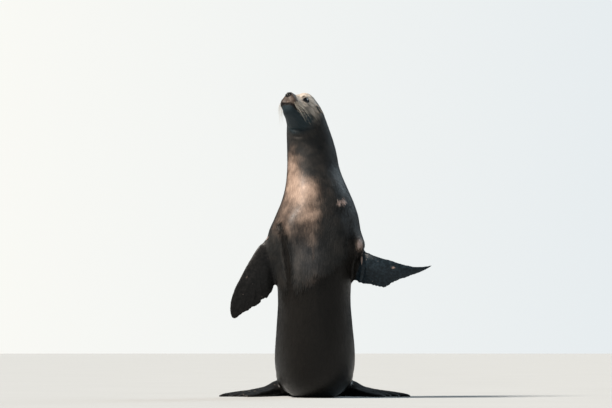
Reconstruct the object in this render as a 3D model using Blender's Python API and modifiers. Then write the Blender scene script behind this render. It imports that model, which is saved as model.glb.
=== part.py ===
"""A life-size sea lion, a young male about two metres long, sitting up with its fore flippers spread.

Metres, +Z up. The animal faces -Y and its left side is +X. The body is modelled whole, from lofts that
follow its belly line and its back line, and is then parted by thin cuts into the pieces that a person
would name. It is built over the foot of the trunk's upright axis. At the end all of it is moved, so that
the origin comes to the middle of the flat on which the lower belly rests.
"""

from collections import namedtuple
from math import cos, pi, radians, sin

import bmesh
import bpy
from mathutils import Matrix, Vector

# ---------------------------------------------------------------- driving dimensions
GAP = 0.0003  # clearance left by every cut between two pieces
VOXEL = 0.0032  # grain of the blend that melts the lofts together
ALL_OVER_PASSES = 5  # smoothing passes over the whole blend
MUSCLE_PASSES = 90  # more of them over the trunk, where muscles run into each other
BODY_FACES = 4450  # facets kept over the whole body, most of them four-sided
FINE_WEIGHT = 0.02  # how far head, feet and flippers take part in that
RING_SIDES = 32
STEPS = 6  # rings between two sections of a loft
THINNEST_EDGE = 0.0085  # trailing edge of a fore flipper

SEAT = Vector((0.0, 0.25, 0.0))  # middle of the flat that the lower belly rests on
NOSE = Vector((-0.1255, -0.107, 1.389))  # tip of the nose
HEAD_YAW = radians(37)  # the head is turned to the animal's right
HEAD_PITCH = radians(26)  # and looks up

EYE_RADIUS = 0.019
EYE_BACK, EYE_OUT, EYE_UP = 0.087, 0.0350, 0.010  # centre of the eyeball, from the tip of the nose
EAR_LENGTH = 0.046
CLAW_LENGTH = 0.022

SKIN_BROWN = (0.060, 0.045, 0.036, 1.0)
FLIPPER_BLACK = (0.022, 0.021, 0.022, 1.0)
EYE_DARK = (0.012, 0.008, 0.006, 1.0)

Section = namedtuple("Section", "belly back side half_width level square ridge")
Chord = namedtuple("Chord", "lead trail thick")


# ---------------------------------------------------------------- curves and frames
def through(values, t):
    """The value at t of a Catmull-Rom curve through a list of numbers or vectors, one to each whole t."""
    last = len(values) - 1
    i = min(int(t), last - 1)
    u = t - i
    before, start = values[max(i - 1, 0)], values[i]
    end, after = values[i + 1], values[min(i + 2, last)]
    return 0.5 * (
        2 * start
        + (end - before) * u
        + (2 * before - 5 * start + 4 * end - after) * u**2
        + (3 * start - before - 3 * end + after) * u**3
    )


def leftward(yaw):
    return Vector((cos(yaw), -sin(yaw), 0))


def upright(x, y, yaw):
    """A vertical plane through the upright line at x, y: it takes (distance towards the back, height)."""
    return lambda q, z: Vector((x + q * sin(yaw), y + q * cos(yaw), z))


def head_point(back, out, up):
    """A point of the head: distance behind the nose tip, towards the animal's left, and above its axis."""
    forward = Vector(
        (-sin(HEAD_YAW) * cos(HEAD_PITCH), -cos(HEAD_YAW) * cos(HEAD_PITCH), sin(HEAD_PITCH))
    )
    crown = Vector((sin(HEAD_YAW) * sin(HEAD_PITCH), cos(HEAD_YAW) * sin(HEAD_PITCH), cos(HEAD_PITCH)))
    return NOSE - forward * back + leftward(HEAD_YAW) * out + crown * up


def head_direction(back, out, up):
    return (head_point(back, out, up) - NOSE).normalized()


def head_turn():
    """Turns an ellipsoid's own axes to the head's left, its length and its crown."""
    return Matrix(
        (head_direction(0, 1, 0), head_direction(1, 0, 0), head_direction(0, 0, 1))
    ).transposed()


# ---------------------------------------------------------------- mesh helpers
def object_from(name, bm):
    mesh = bpy.data.meshes.new(name)
    bm.to_mesh(mesh)
    bm.free()
    made = bpy.data.objects.new(name, mesh)
    bpy.context.scene.collection.objects.link(made)
    return made


def skin_rings(name, rings):
    """One closed mesh over rings of points: quads between neighbours and a fan of triangles at each end."""
    bm = bmesh.new()
    loops = [[bm.verts.new(point) for point in ring] for ring in rings]
    count = len(rings[0])
    for a, b in zip(loops, loops[1:]):
        for i in range(count):
            j = (i + 1) % count
            bm.faces.new((a[i], a[j], b[j], b[i]))
    for loop in (loops[0], loops[-1]):
        middle = bm.verts.new(sum((v.co for v in loop), Vector()) / count)
        for i in range(count):
            bm.faces.new((loop[i], loop[(i + 1) % count], middle))
    bmesh.ops.recalc_face_normals(bm, faces=bm.faces)
    return object_from(name, bm)


def drawn_out(value, square):
    """A cosine or sine drawn out towards a square by the superellipse's power."""
    return (1 if value >= 0 else -1) * abs(value) ** (2 / square)


def body_ring(section):
    """An egg-shaped ring standing on its belly point, widest at its level, sharper above if it has a ridge."""
    height = section.back - section.belly
    centre = section.belly + height * section.level
    ring = []
    for i in range(RING_SIDES):
        angle = 2 * pi * i / RING_SIDES
        upper = sin(angle) > 0
        power = section.ridge if upper else section.square
        across = drawn_out(cos(angle), power) * section.half_width
        rise = drawn_out(sin(angle), power) * ((1 - section.level) if upper else section.level)
        ring.append(centre + section.side * across + height * rise)
    return ring


def body_loft(name, sections):
    columns = list(zip(*sections))
    rings = []
    for step in range((len(sections) - 1) * STEPS + 1):
        section = Section(*(through(column, step / STEPS) for column in columns))
        rings.append(body_ring(section._replace(side=section.side.normalized())))
    return skin_rings(name, rings)


def blade_ring(lead, trail, thick, axis):
    """A flattened ring, thick and blunt towards the leading edge and thin along the trailing one."""
    chord = trail - lead
    face = axis.cross(chord).normalized()
    ring = []
    for i in range(RING_SIDES):
        angle = 2 * pi * i / RING_SIDES
        along = (1 - cos(angle)) / 2
        swell = 1.9 * along**0.42 * (1 - along) ** 0.9
        thickness = max(thick * swell, THINNEST_EDGE)
        ring.append(lead + chord * along + face * sin(angle) * thickness / 2)
    return ring


def blade_loft(name, chords, notches, notch_depth):
    """A flipper: chords from leading to trailing edge, with the trailing edge drawn in between the digits."""
    leads, trails, thicks = zip(*chords)
    rings = []
    last = len(chords) - 1
    for step in range(last * STEPS + 1):
        t = step / STEPS
        lead, trail = through(leads, t), through(trails, t)
        ahead, behind = min(t + 0.1, last), max(t - 0.1, 0)
        axis = through(leads, ahead) + through(trails, ahead) - through(leads, behind) - through(trails, behind)
        drawn_in = sum(notch_depth * max(0.0, 1 - abs(t - at) / 0.3) for at in notches)
        rings.append(blade_ring(lead, trail.lerp(lead, drawn_in), through(thicks, t), axis.normalized()))
    return skin_rings(name, rings)


def ball(name, centre, radii, turn=Matrix.Identity(3), segments=24):
    """An ellipsoid with its own radii, turned and put in its place."""
    bm = bmesh.new()
    bmesh.ops.create_uvsphere(bm, u_segments=segments, v_segments=segments // 2, radius=1.0)
    place = Matrix.Translation(centre) @ turn.to_4x4() @ Matrix.Diagonal((*radii, 1.0))
    bmesh.ops.transform(bm, matrix=place, verts=bm.verts)
    return object_from(name, bm)


def plate(name, centre, normal, half_up, half_across, up=Vector((0, 0, 1)), thick=GAP):
    """A thin sheet that cuts a limb: square to a direction, with its own height and width."""
    normal = normal.normalized()
    across = up.cross(normal).normalized()
    turn = Matrix((across, normal.cross(across), normal)).transposed()
    bm = bmesh.new()
    bmesh.ops.create_cube(bm, size=2.0)
    place = Matrix.Translation(centre) @ turn.to_4x4() @ Matrix.Diagonal((half_across, half_up, thick / 2, 1.0))
    bmesh.ops.transform(bm, matrix=place, verts=bm.verts)
    return object_from(name, bm)


def applied(made):
    """The object with its modifiers made part of its mesh."""
    graph = bpy.context.evaluated_depsgraph_get()
    mesh = bpy.data.meshes.new_from_object(made.evaluated_get(graph))
    made.modifiers.clear()
    made.data = mesh
    return made


def boolean(made, other, operation):
    """Joins the other object to this one, or takes it away, and removes it."""
    modifier = made.modifiers.new(operation.lower(), "BOOLEAN")
    modifier.operation = operation
    modifier.solver = "EXACT"
    modifier.object = other
    applied(made)
    bpy.data.objects.remove(other)
    return made


# ---------------------------------------------------------------- the body as lofts
def trunk_sections():
    """From the tip of the tail, along the floor, and up the trunk to the root of the neck."""
    rows = [
        # x, belly (q, z), back (q, z), half width, level
        (0, (0.800, 0.020), (0.802, 0.036), 0.008, 0.50),
        (0, (0.750, 0.012), (0.745, 0.064), 0.024, 0.50),
        (0, (0.695, 0.000), (0.685, 0.110), 0.056, 0.50),
        (0, (0.615, -0.012), (0.605, 0.172), 0.106, 0.46),
        (0, (0.505, -0.018), (0.505, 0.230), 0.146, 0.45),
        (0, (0.390, -0.020), (0.415, 0.282), 0.168, 0.43),
        (0, (0.270, -0.020), (0.342, 0.330), 0.179, 0.42),
        (0, (0.145, -0.020), (0.289, 0.374), 0.186, 0.42),
        (0, (0.040, -0.010), (0.256, 0.415), 0.189, 0.43),
        (0, (-0.050, 0.034), (0.236, 0.452), 0.187, 0.45),
        (-0.001, (-0.112, 0.112), (0.226, 0.487), 0.181, 0.47),
        (-0.002, (-0.147, 0.213), (0.222, 0.528), 0.175, 0.48),
        (-0.003, (-0.164, 0.324), (0.226, 0.582), 0.170, 0.48),
        (-0.003, (-0.172, 0.437), (0.234, 0.648), 0.174, 0.48),
        (-0.001, (-0.178, 0.550), (0.242, 0.718), 0.188, 0.47),
        (0.004, (-0.182, 0.660), (0.245, 0.792), 0.204, 0.46),
        (0.008, (-0.176, 0.770), (0.238, 0.866), 0.200, 0.46),
        (0.012, (-0.154, 0.868), (0.223, 0.937), 0.170, 0.46),
        (0.005, (-0.122, 0.956), (0.207, 1.006), 0.143, 0.47),
    ]
    return [
        Section(
            upright(x, 0, 0)(*belly), upright(x, 0, 0)(*back), leftward(0), half_width, level, 2.05, 2.0
        )
        for x, belly, back, half_width, level in rows
    ]


def neck_sections():
    """The neck turns from the trunk's plane into the head's, so each section has a turn of its own."""
    rows = [
        # x, y, turn, belly (q, z), back (q, z), half width
        (-0.007, 0.056, 10, (-0.142, 1.040), (0.136, 1.074), 0.1235),
        (-0.014, 0.060, 19, (-0.124, 1.112), (0.121, 1.144), 0.1165),
        (-0.023, 0.060, 28, (-0.110, 1.172), (0.104, 1.210), 0.1090),
    ]
    sections = []
    for x, y, turn, belly, back, half_width in rows:
        plane = upright(x, y, radians(turn))
        sections.append(
            Section(plane(*belly), plane(*back), leftward(radians(turn)), half_width, 0.5, 2.0, 2.0)
        )
    return sections


def head_sections():
    """Throat, skull and muzzle. A plane through the belly and the top point holds each section."""
    rows = [
        # belly (back, out, up), top (back, out, up), half width, level, squareness, ridge
        ((0.146, -0.014, -0.128), (0.258, -0.022, 0.042), 0.098, 0.50, 2.0, 2.0),
        ((0.140, -0.013, -0.115), (0.232, -0.018, 0.057), 0.091, 0.50, 2.1, 1.9),
        ((0.130, -0.010, -0.106), (0.200, -0.012, 0.067), 0.084, 0.50, 2.3, 1.9),
        ((0.114, -0.006, -0.101), (0.166, -0.006, 0.074), 0.076, 0.50, 2.5, 1.9),
        ((0.096, -0.003, -0.096), (0.138, -0.002, 0.078), 0.069, 0.50, 2.7, 1.9),
        ((0.078, 0.000, -0.092), (0.110, 0.000, 0.073), 0.060, 0.48, 2.8, 1.9),
        ((0.058, 0.000, -0.088), (0.082, 0.000, 0.050), 0.051, 0.48, 2.9, 1.8),
        ((0.040, 0.000, -0.083), (0.056, 0.000, 0.032), 0.045, 0.48, 2.8, 1.7),
        ((0.026, 0.000, -0.075), (0.034, 0.000, 0.025), 0.040, 0.48, 2.6, 1.6),
        ((0.016, 0.000, -0.062), (0.017, 0.000, 0.023), 0.033, 0.50, 2.4, 1.6),
        ((0.009, 0.000, -0.044), (0.006, 0.000, 0.019), 0.024, 0.54, 2.1, 1.7),
        ((0.004, 0.000, -0.022), (0.001, 0.000, 0.010), 0.012, 0.60, 2.0, 2.0),
    ]
    side = leftward(HEAD_YAW)
    return [
        Section(head_point(*belly), head_point(*top), side, *shape)
        for belly, top, *shape in rows
    ]


def fore_flipper(name, rows, notches):
    """Rows run from the shoulder to the tip: leading edge, trailing edge, thickness."""
    chords = [Chord(Vector(lead), Vector(trail), thick) for lead, trail, thick in rows]
    return blade_loft(name, chords, notches, notch_depth=0.06)


def right_fore_flipper():
    """It hangs down and outwards, with its palm forwards."""
    return fore_flipper(
        "right_blade",
        [
            ((-0.120, -0.020, 0.800), (-0.080, 0.015, 0.560), 0.100),
            ((-0.202, -0.042, 0.762), (-0.132, -0.005, 0.545), 0.098),
            ((-0.256, -0.056, 0.700), (-0.170, -0.014, 0.522), 0.074),
            ((-0.304, -0.064, 0.626), (-0.196, -0.020, 0.470), 0.054),
            ((-0.343, -0.066, 0.557), (-0.232, -0.020, 0.440), 0.040),
            ((-0.373, -0.064, 0.496), (-0.276, -0.018, 0.410), 0.031),
            ((-0.390, -0.056, 0.436), (-0.322, -0.018, 0.387), 0.023),
            ((-0.391, -0.044, 0.392), (-0.350, -0.020, 0.369), 0.016),
            ((-0.382, -0.032, 0.366), (-0.370, -0.026, 0.360), 0.010),
        ],
        notches=(4.1, 5.1, 6.0, 6.7),
    )


def left_fore_flipper():
    """It reaches out to the side, palm forwards and down, with its tip curled up."""
    return fore_flipper(
        "left_blade",
        [
            ((0.120, -0.020, 0.800), (0.080, 0.015, 0.560), 0.100),
            ((0.192, -0.050, 0.742), (0.138, -0.004, 0.545), 0.098),
            ((0.234, -0.090, 0.674), (0.184, -0.034, 0.521), 0.072),
            ((0.288, -0.114, 0.647), (0.246, -0.060, 0.515), 0.050),
            ((0.346, -0.124, 0.631), (0.318, -0.076, 0.499), 0.038),
            ((0.393, -0.127, 0.614), (0.362, -0.090, 0.526), 0.030),
            ((0.442, -0.124, 0.604), (0.410, -0.100, 0.545), 0.024),
            ((0.488, -0.115, 0.602), (0.462, -0.104, 0.565), 0.018),
            ((0.520, -0.106, 0.607), (0.506, -0.104, 0.588), 0.013),
            ((0.541, -0.099, 0.615), (0.536, -0.099, 0.608), 0.009),
        ],
        notches=(4.6, 5.6, 6.6),
    )


HIND_ANKLE = Vector((0.138, 0.570, 0.0))  # on the left; the right one mirrors it
HIND_REACH = Vector((0.62, -0.785, 0.0)).normalized()  # the way the foot points
HIND_WIDE = Vector((0.785, 0.62, 0.0)).normalized()  # towards its outer edge
SOLE = -0.012  # depth of the soles before the floor trims them flat


def mirrored(point, hand):
    return Vector((point.x * hand, point.y, point.z))


def hind_point(along, across, up, hand):
    return mirrored(HIND_ANKLE + HIND_REACH * along + HIND_WIDE * across + Vector((0, 0, up)), hand)


def sole_section(along, across, half_width, height, hand, square=2.3):
    return Section(
        hind_point(along, across, SOLE, hand),
        hind_point(along, across, height, hand),
        mirrored(HIND_WIDE, hand),
        half_width,
        0.45,
        square,
        2.0,
    )


def hind_flipper(hand):
    """A foot turned forwards, its sole on the floor: heel, ankle and five long toes in one web."""
    rows = [
        # along, half width, height of the instep
        (-0.075, 0.022, 0.060),
        (-0.050, 0.038, 0.090),
        (0.000, 0.047, 0.100),
        (0.055, 0.049, 0.080),
        (0.110, 0.055, 0.056),
        (0.165, 0.066, 0.038),
        (0.220, 0.079, 0.026),
        (0.275, 0.089, 0.018),
        (0.315, 0.096, 0.013),
    ]
    toes = [
        # place across the web, reach of the toe's flap
        (-0.078, 0.392),
        (-0.041, 0.362),
        (-0.002, 0.352),
        (0.038, 0.364),
        (0.078, 0.396),
    ]
    foot = [body_loft("foot", [sole_section(along, 0, wide, high, hand) for along, wide, high in rows])]
    for across, reach in toes:
        rays = [
            # along, share of the place across, half width, height
            (0.120, 0.50, 0.013, 0.046),
            (0.200, 0.72, 0.015, 0.033),
            (0.280, 0.90, 0.019, 0.025),
            (reach - 0.030, 1.00, 0.021, 0.015),
            (reach, 1.03, 0.009, 0.008),
        ]
        foot.append(
            body_loft("toe", [sole_section(along, across * share, wide, high, hand) for along, share, wide, high in rays])
        )
    return foot


def limb_masses():
    """Shoulders, breast, thighs and shanks: the muscle under the skin where the flippers leave the body."""
    masses = []
    for hand, side in ((1, "left"), (-1, "right")):
        tilt = Matrix.Rotation(radians(-14 * hand), 3, "Y")
        out = Matrix.Rotation(radians(14 * hand), 3, "Z")
        masses += [
            ball(f"shoulder_{side}", Vector((0.143 * hand, 0.004, 0.735)), (0.078, 0.128, 0.142), tilt),
            ball(f"breast_{side}", Vector((0.080 * hand, -0.088, 0.730)), (0.086, 0.084, 0.150)),
            ball(f"thigh_{side}", Vector((0.104 * hand, 0.425, 0.114)), (0.074, 0.170, 0.104), out),
            ball(f"shank_{side}", Vector((0.118 * hand, 0.520, 0.068)), (0.050, 0.090, 0.062), out),
        ]
    return masses


def face_masses():
    """Whisker pads, brows and the crest of the skull, which a plain loft would leave out."""
    turn = head_turn()
    masses = [ball("crest", head_point(0.140, 0, 0.050), (0.024, 0.050, 0.026), turn)]
    for hand, side in ((1, "left"), (-1, "right")):
        masses += [
            ball(f"pad_{side}", head_point(0.036, 0.021 * hand, -0.029), (0.026, 0.033, 0.027), turn),
            ball(f"brow_{side}", head_point(0.099, 0.030 * hand, 0.031), (0.020, 0.034, 0.016), turn),
        ]
    return masses


EAR_ROOT = (0.148, 0.073, 0.015)  # back, out and up from the tip of the nose
EAR_TIP = (0.182, 0.098, -0.014)
EAR_SHIFT = -0.005  # the neck's turn carries both ears this far to the animal's right


def ear_point(place, hand):
    back, out, up = place
    return head_point(back, out * hand + EAR_SHIFT, up)


def ear(name, hand, clearance=0.0):
    """A small rolled ear that points back and down along the head, its root sunk into it."""
    root = ear_point(EAR_ROOT, hand)
    along = (ear_point(EAR_TIP, hand) - root).normalized()
    wide = along.cross(head_direction(0.25, hand, -0.1)).normalized()
    flat = along.cross(wide).normalized()
    rings = []
    for share, half_width, half_thick in (
        (-0.25, 0.0045, 0.0035),
        (-0.10, 0.0075, 0.0052),
        (0.10, 0.0090, 0.0060),
        (0.35, 0.0094, 0.0058),
        (0.60, 0.0082, 0.0052),
        (0.82, 0.0058, 0.0044),
        (0.95, 0.0034, 0.0032),
        (1.00, 0.0016, 0.0016),
    ):
        reach = clearance if share in (-0.25, 1.0) else 0.0
        centre = root + along * (share * EAR_LENGTH + (reach if share > 0 else -reach))
        across, thick = wide * (half_width + clearance), flat * (half_thick + clearance)
        rings.append([centre + across * cos(a) + thick * sin(a) for a in (2 * pi * i / 20 for i in range(20))])
    return skin_rings(name, rings)


# ---------------------------------------------------------------- one skin
def is_trunk(point):
    """Whether a point belongs to the trunk and the roots of the limbs, rather than to a thin edge."""
    foot = point.z < 0.07 and abs(point.x) > 0.15
    return point.z < 1.10 and abs(point.x) < 0.215 and not foot


def joined(name, pieces):
    """All the closed shells of some objects in one mesh. The voxel blend makes one skin of them."""
    bm = bmesh.new()
    for piece in pieces:
        bm.from_mesh(piece.data)
        bpy.data.objects.remove(piece)
    return object_from(name, bm)


def blended(pieces):
    """All the pieces as one smooth closed skin, cut flat where it rests on the floor."""
    body = joined("body", pieces)
    remesh = body.modifiers.new("melt", "REMESH")
    remesh.mode = "VOXEL"
    remesh.voxel_size = VOXEL
    body = applied(body)
    trunk = body.vertex_groups.new(name="trunk")
    for inside, weight in ((True, 1.0), (False, FINE_WEIGHT)):
        trunk.add([v.index for v in body.data.vertices if is_trunk(v.co) is inside], weight, "REPLACE")
    relax = body.modifiers.new("relax", "SMOOTH")
    relax.iterations = ALL_OVER_PASSES
    run_in = body.modifiers.new("run_in", "SMOOTH")
    run_in.iterations = MUSCLE_PASSES
    run_in.vertex_group = "trunk"
    body = applied(body)
    thin_out = body.modifiers.new("thin_out", "DECIMATE")
    thin_out.ratio = BODY_FACES / (2 * len(body.data.polygons))
    body = applied(body)
    body.vertex_groups.clear()
    floor = plate("floor", Vector((0, 0, -0.1)), Vector((0, 0, 1)), 2.0, 2.0, Vector((0, 1, 0)), 0.2)
    return boolean(body, floor, "DIFFERENCE")


def claw(side, hand, number, across):
    """A flat nail on top of a toe, sunk into the web by half."""
    centre = hind_point(0.275, across, 0.0235, hand)
    across, along = mirrored(HIND_WIDE, hand), mirrored(HIND_REACH, hand)
    turn = Matrix((across, along, Vector((0, 0, 1)))).transposed()
    return ball(f"claw_{side}_{number}", centre, (0.0042, CLAW_LENGTH / 2, 0.0030), turn, segments=12)


# ---------------------------------------------------------------- parting
def cuts():
    """A thin plate for every place where one named piece ends and the next begins."""
    level, crown = Vector((0, 1, 0)), head_direction(0, 0, 1)
    made = [
        plate("throat", head_point(0.190, 0, -0.030), head_direction(-0.74, 0, 0.50), 0.20, 0.16, crown),
        plate("neck_root", Vector((0.0, 0.04, 0.965)), Vector((0, -0.14, 1)), 0.30, 0.30, level),
        plate("waist", Vector((-0.004, 0.03, 0.425)), Vector((0, -0.30, 1)), 0.27, 0.195, level),
        plate("rump", Vector((0, 0.200, 0.18)), Vector((0, 0.92, -0.40)), 0.28, 0.23),
        plate("tail_root", Vector((0, 0.700, 0.05)), Vector((0, 1, -0.05)), 0.12, 0.10),
    ]
    for hand, side in ((1, "left"), (-1, "right")):
        made.append(plate(f"ankle_{side}", Vector((0.192 * hand, 0.50, 0.05)), Vector((1, 0, 0)), 0.09, 0.14))
    made += [
        plate("armpit_left", Vector((0.218, -0.06, 0.600)), Vector((0.95, 0, -0.31)), 0.120, 0.12),
        plate("armpit_right", Vector((-0.218, -0.03, 0.610)), Vector((-0.955, 0, -0.296)), 0.135, 0.12),
    ]
    return made


def jaw_cut():
    """The mouth from its front to its corner, and from there down to the throat, as one cutter."""
    corner_back, corner_up = 0.104, -0.051
    crown = head_direction(0, 0, 1)
    mouth = plate(
        "mouth",
        head_point(corner_back / 2 - 0.02, 0, corner_up + 0.002),
        crown,
        0.072,
        0.10,
        head_direction(1, 0, 0),
    )
    behind = head_point(corner_back + 0.008, 0, corner_up - 0.038)
    down = plate("gape", behind, head_direction(1, 0, 0.22), 0.042, 0.10, crown)
    return boolean(mouth, down, "UNION")


SEEDS = {
    # a point on the surface of each piece
    "head": head_point(0.150, 0, 0.082),
    "lower_jaw": head_point(0.058, 0, -0.088),
    "neck": Vector((0, -0.07, 1.08)),
    "chest": Vector((0, -0.18, 0.70)),
    "belly": Vector((0, -0.15, 0.22)),
    "hips": Vector((0, 0.50, 0.23)),
    "tail": Vector((0, 0.80, 0.03)),
    "fore_flipper_left": Vector((0.541, -0.10, 0.615)),
    "fore_flipper_right": Vector((-0.380, -0.03, 0.362)),
    "hind_flipper_left": hind_point(0.35, 0, 0.01, 1),
    "hind_flipper_right": hind_point(0.35, 0, 0.01, -1),
}


def islands(bm):
    """The unconnected pieces of a mesh, each as a list of faces."""
    left = set(bm.faces)
    found = []
    while left:
        island, frontier = [], [left.pop()]
        while frontier:
            face = frontier.pop()
            island.append(face)
            for edge in face.edges:
                for other in edge.link_faces:
                    if other in left:
                        left.discard(other)
                        frontier.append(other)
        found.append(island)
    return found


def part_body(body):
    """The body cut through by every plate. The island that comes nearest to a seed takes its name."""
    for cutter in [*cuts(), jaw_cut()]:
        body = boolean(body, cutter, "DIFFERENCE")
    whole = bmesh.new()
    whole.from_mesh(body.data)
    found = islands(whole)
    corners = [{v.co.copy().freeze() for face in island for v in face.verts} for island in found]
    kept = [{face.index for face in island} for island in found]
    whole.free()
    pieces = {}
    for name, seed in SEEDS.items():
        nearest = min(range(len(found)), key=lambda i: min((co - seed).length for co in corners[i]))
        bm = bmesh.new()
        bm.from_mesh(body.data)
        bmesh.ops.delete(bm, geom=[f for f in bm.faces if f.index not in kept[nearest]], context="FACES")
        pieces[name] = object_from(name, bm)
    bpy.data.objects.remove(body)
    return pieces


def paint(made, name, colour, roughness):
    material = bpy.data.materials.get(name) or bpy.data.materials.new(name)
    material.use_nodes = True
    shader = material.node_tree.nodes["Principled BSDF"]
    shader.inputs["Base Color"].default_value = colour
    shader.inputs["Roughness"].default_value = roughness
    made.data.materials.clear()
    made.data.materials.append(material)
    made.data.shade_smooth()
    made.data.set_sharp_from_angle(angle=radians(50))


def main():
    for old in list(bpy.data.objects):
        bpy.data.objects.remove(old)
    lofts = [
        body_loft("torso", trunk_sections() + neck_sections() + head_sections()),
        *limb_masses(),
        *face_masses(),
        right_fore_flipper(),
        left_fore_flipper(),
        *hind_flipper(-1),
        *hind_flipper(1),
    ]
    body = blended(lofts)
    for hand, side in ((1, "left"), (-1, "right")):
        for number, across in enumerate((-0.037, -0.002, 0.034), start=1):
            body = boolean(body, claw(side, hand, number, across), "UNION")
    eyes, ears = [], []
    for hand, side in ((1, "left"), (-1, "right")):
        centre = head_point(EYE_BACK, EYE_OUT * hand, EYE_UP)
        body = boolean(body, ball("socket", centre, (EYE_RADIUS + GAP,) * 3), "DIFFERENCE")
        eyes.append(ball(f"eye_{side}", centre, (EYE_RADIUS,) * 3, segments=20))
        body = boolean(body, ear("recess", hand, GAP), "DIFFERENCE")
        ears.append(ear(f"ear_{side}", hand))
    pieces = part_body(body)
    for name, piece in pieces.items():
        bare = "flipper" in name or "tail" in name
        paint(piece, "flipper_skin" if bare else "wet_coat", FLIPPER_BLACK if bare else SKIN_BROWN, 0.35)
    for made in ears:
        paint(made, "wet_coat", SKIN_BROWN, 0.35)
    for eye in eyes:
        paint(eye, "eye", EYE_DARK, 0.05)
    group = bpy.data.collections.new("sea_lion")
    bpy.context.scene.collection.children.link(group)
    for made in list(bpy.context.scene.collection.objects):
        made.data.transform(Matrix.Translation(-SEAT))
        group.objects.link(made)
        bpy.context.scene.collection.objects.unlink(made)


main()
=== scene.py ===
# %% [markdown]
# # A sea lion that sits up
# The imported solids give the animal's true size and outline, parted where a person would name its pieces.
# This lesson gives it back one skin without seams, then eyes, whiskers, claws and a wet coat.
# First the solids are loaded. They stay where they are, and every new piece is placed from them.

# %% Load the solids
import math

import bmesh
import bpy
import numpy as np
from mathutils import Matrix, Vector
from mathutils.bvhtree import BVHTree


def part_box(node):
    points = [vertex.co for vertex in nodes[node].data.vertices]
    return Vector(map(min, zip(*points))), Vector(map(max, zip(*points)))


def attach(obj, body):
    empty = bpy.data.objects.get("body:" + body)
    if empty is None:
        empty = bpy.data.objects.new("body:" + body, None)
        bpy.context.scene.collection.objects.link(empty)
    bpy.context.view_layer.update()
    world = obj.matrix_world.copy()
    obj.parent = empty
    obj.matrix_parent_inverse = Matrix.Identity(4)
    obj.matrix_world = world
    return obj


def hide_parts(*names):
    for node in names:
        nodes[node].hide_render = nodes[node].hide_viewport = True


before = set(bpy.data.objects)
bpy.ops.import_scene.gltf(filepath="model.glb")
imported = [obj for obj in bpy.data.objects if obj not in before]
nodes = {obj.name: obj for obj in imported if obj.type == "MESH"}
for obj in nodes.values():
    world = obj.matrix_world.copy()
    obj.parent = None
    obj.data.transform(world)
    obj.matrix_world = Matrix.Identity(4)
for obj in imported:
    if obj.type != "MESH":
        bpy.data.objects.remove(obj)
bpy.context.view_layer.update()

# %% [markdown]
# ## Writing a finish as sums
# A finish is a tree of nodes, and so is the room's light. One small class holds an output of a node and lets
# values be added and multiplied as in plain arithmetic. Every other node comes from its one method, which
# takes the node's type, its settings and what goes into its sockets.

# %% The wire between two nodes
class Wire:
    """One output of a node in a finish."""

    def __init__(self, tree, socket=None):
        self.tree, self.socket = tree, socket

    def node(self, kind, settings, inputs, output=0):
        """A new node, and a wire from this output of it. Inputs are wires or constants."""
        made = self.tree.nodes.new(kind)
        for name, value in settings.items():
            setattr(made, name, value)
        for name, value in inputs.items():
            if isinstance(value, Wire):
                self.tree.links.new(value.socket, made.inputs[name])
            else:
                made.inputs[name].default_value = value
        return Wire(self.tree, made.outputs[output])

    def sum_of(self, operation, a, b):
        return self.node("ShaderNodeMath", {"operation": operation}, {0: a, 1: b})

    def __add__(self, other):
        return self.sum_of("ADD", self, other)

    def __sub__(self, other):
        return self.sum_of("SUBTRACT", self, other)

    def __rsub__(self, other):
        return self.sum_of("SUBTRACT", other, self)

    def __mul__(self, other):
        return self.sum_of("MULTIPLY", self, other)

    __radd__, __rmul__ = __add__, __mul__

    def clipped(self, low, high):
        """0 below low, 1 above high."""
        return self.node("ShaderNodeMapRange", {"interpolation_type": "SMOOTHSTEP"}, {0: self, 1: low, 2: high})

    def share_of(self, name):
        """A share that is stored on the points."""
        return self.node("ShaderNodeAttribute", {"attribute_name": name}, {}, "Fac")

    def noise(self, size, detail=2.0, rough=0.5):
        """A cloudy pattern over this place, whose blots are about this size in metres."""
        inputs = {"Vector": self, "Scale": 1 / size, "Detail": detail, "Roughness": rough}
        return self.node("ShaderNodeTexNoise", {"noise_dimensions": "3D"}, inputs)

    def blend(self, first, second):
        """The first colour where this share is 0 and the second where it is 1."""
        return self.node("ShaderNodeMix", {"data_type": "RGBA"}, {0: self, 6: first, 7: second}, 2)


def tint(red, green, blue):
    """A colour that covers fully."""
    return (red, green, blue, 1.0)


# %% [markdown]
# ## Floor, light and camera
# A museum shows such a model in soft light. One wide lamp from the upper left stands for a low sun and draws
# the wet shine down the chest, and weaker ones open the shadows and put a rim on the outline. They are far
# lamps, so the floor is lit evenly out to the horizon. The room that lights the animal is dimmer than the
# pale backdrop behind it, or its reflection would wash out the dark coat.

# %% Floor
FLOOR_REACH = 60
scene = bpy.context.scene


def placed(name, data):
    """A new object at the origin that holds this mesh, curve, lamp or camera."""
    made = bpy.data.objects.new(name, data)
    scene.collection.objects.link(made)
    return made


def object_of(name, bm):
    """A new object whose place is in its mesh."""
    mesh = bpy.data.meshes.new(name)
    bm.to_mesh(mesh)
    bm.free()
    return placed(name, mesh)


ground = bmesh.new()
bmesh.ops.create_circle(ground, cap_ends=True, segments=96, radius=FLOOR_REACH)
floor = object_of("floor", ground)

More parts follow.
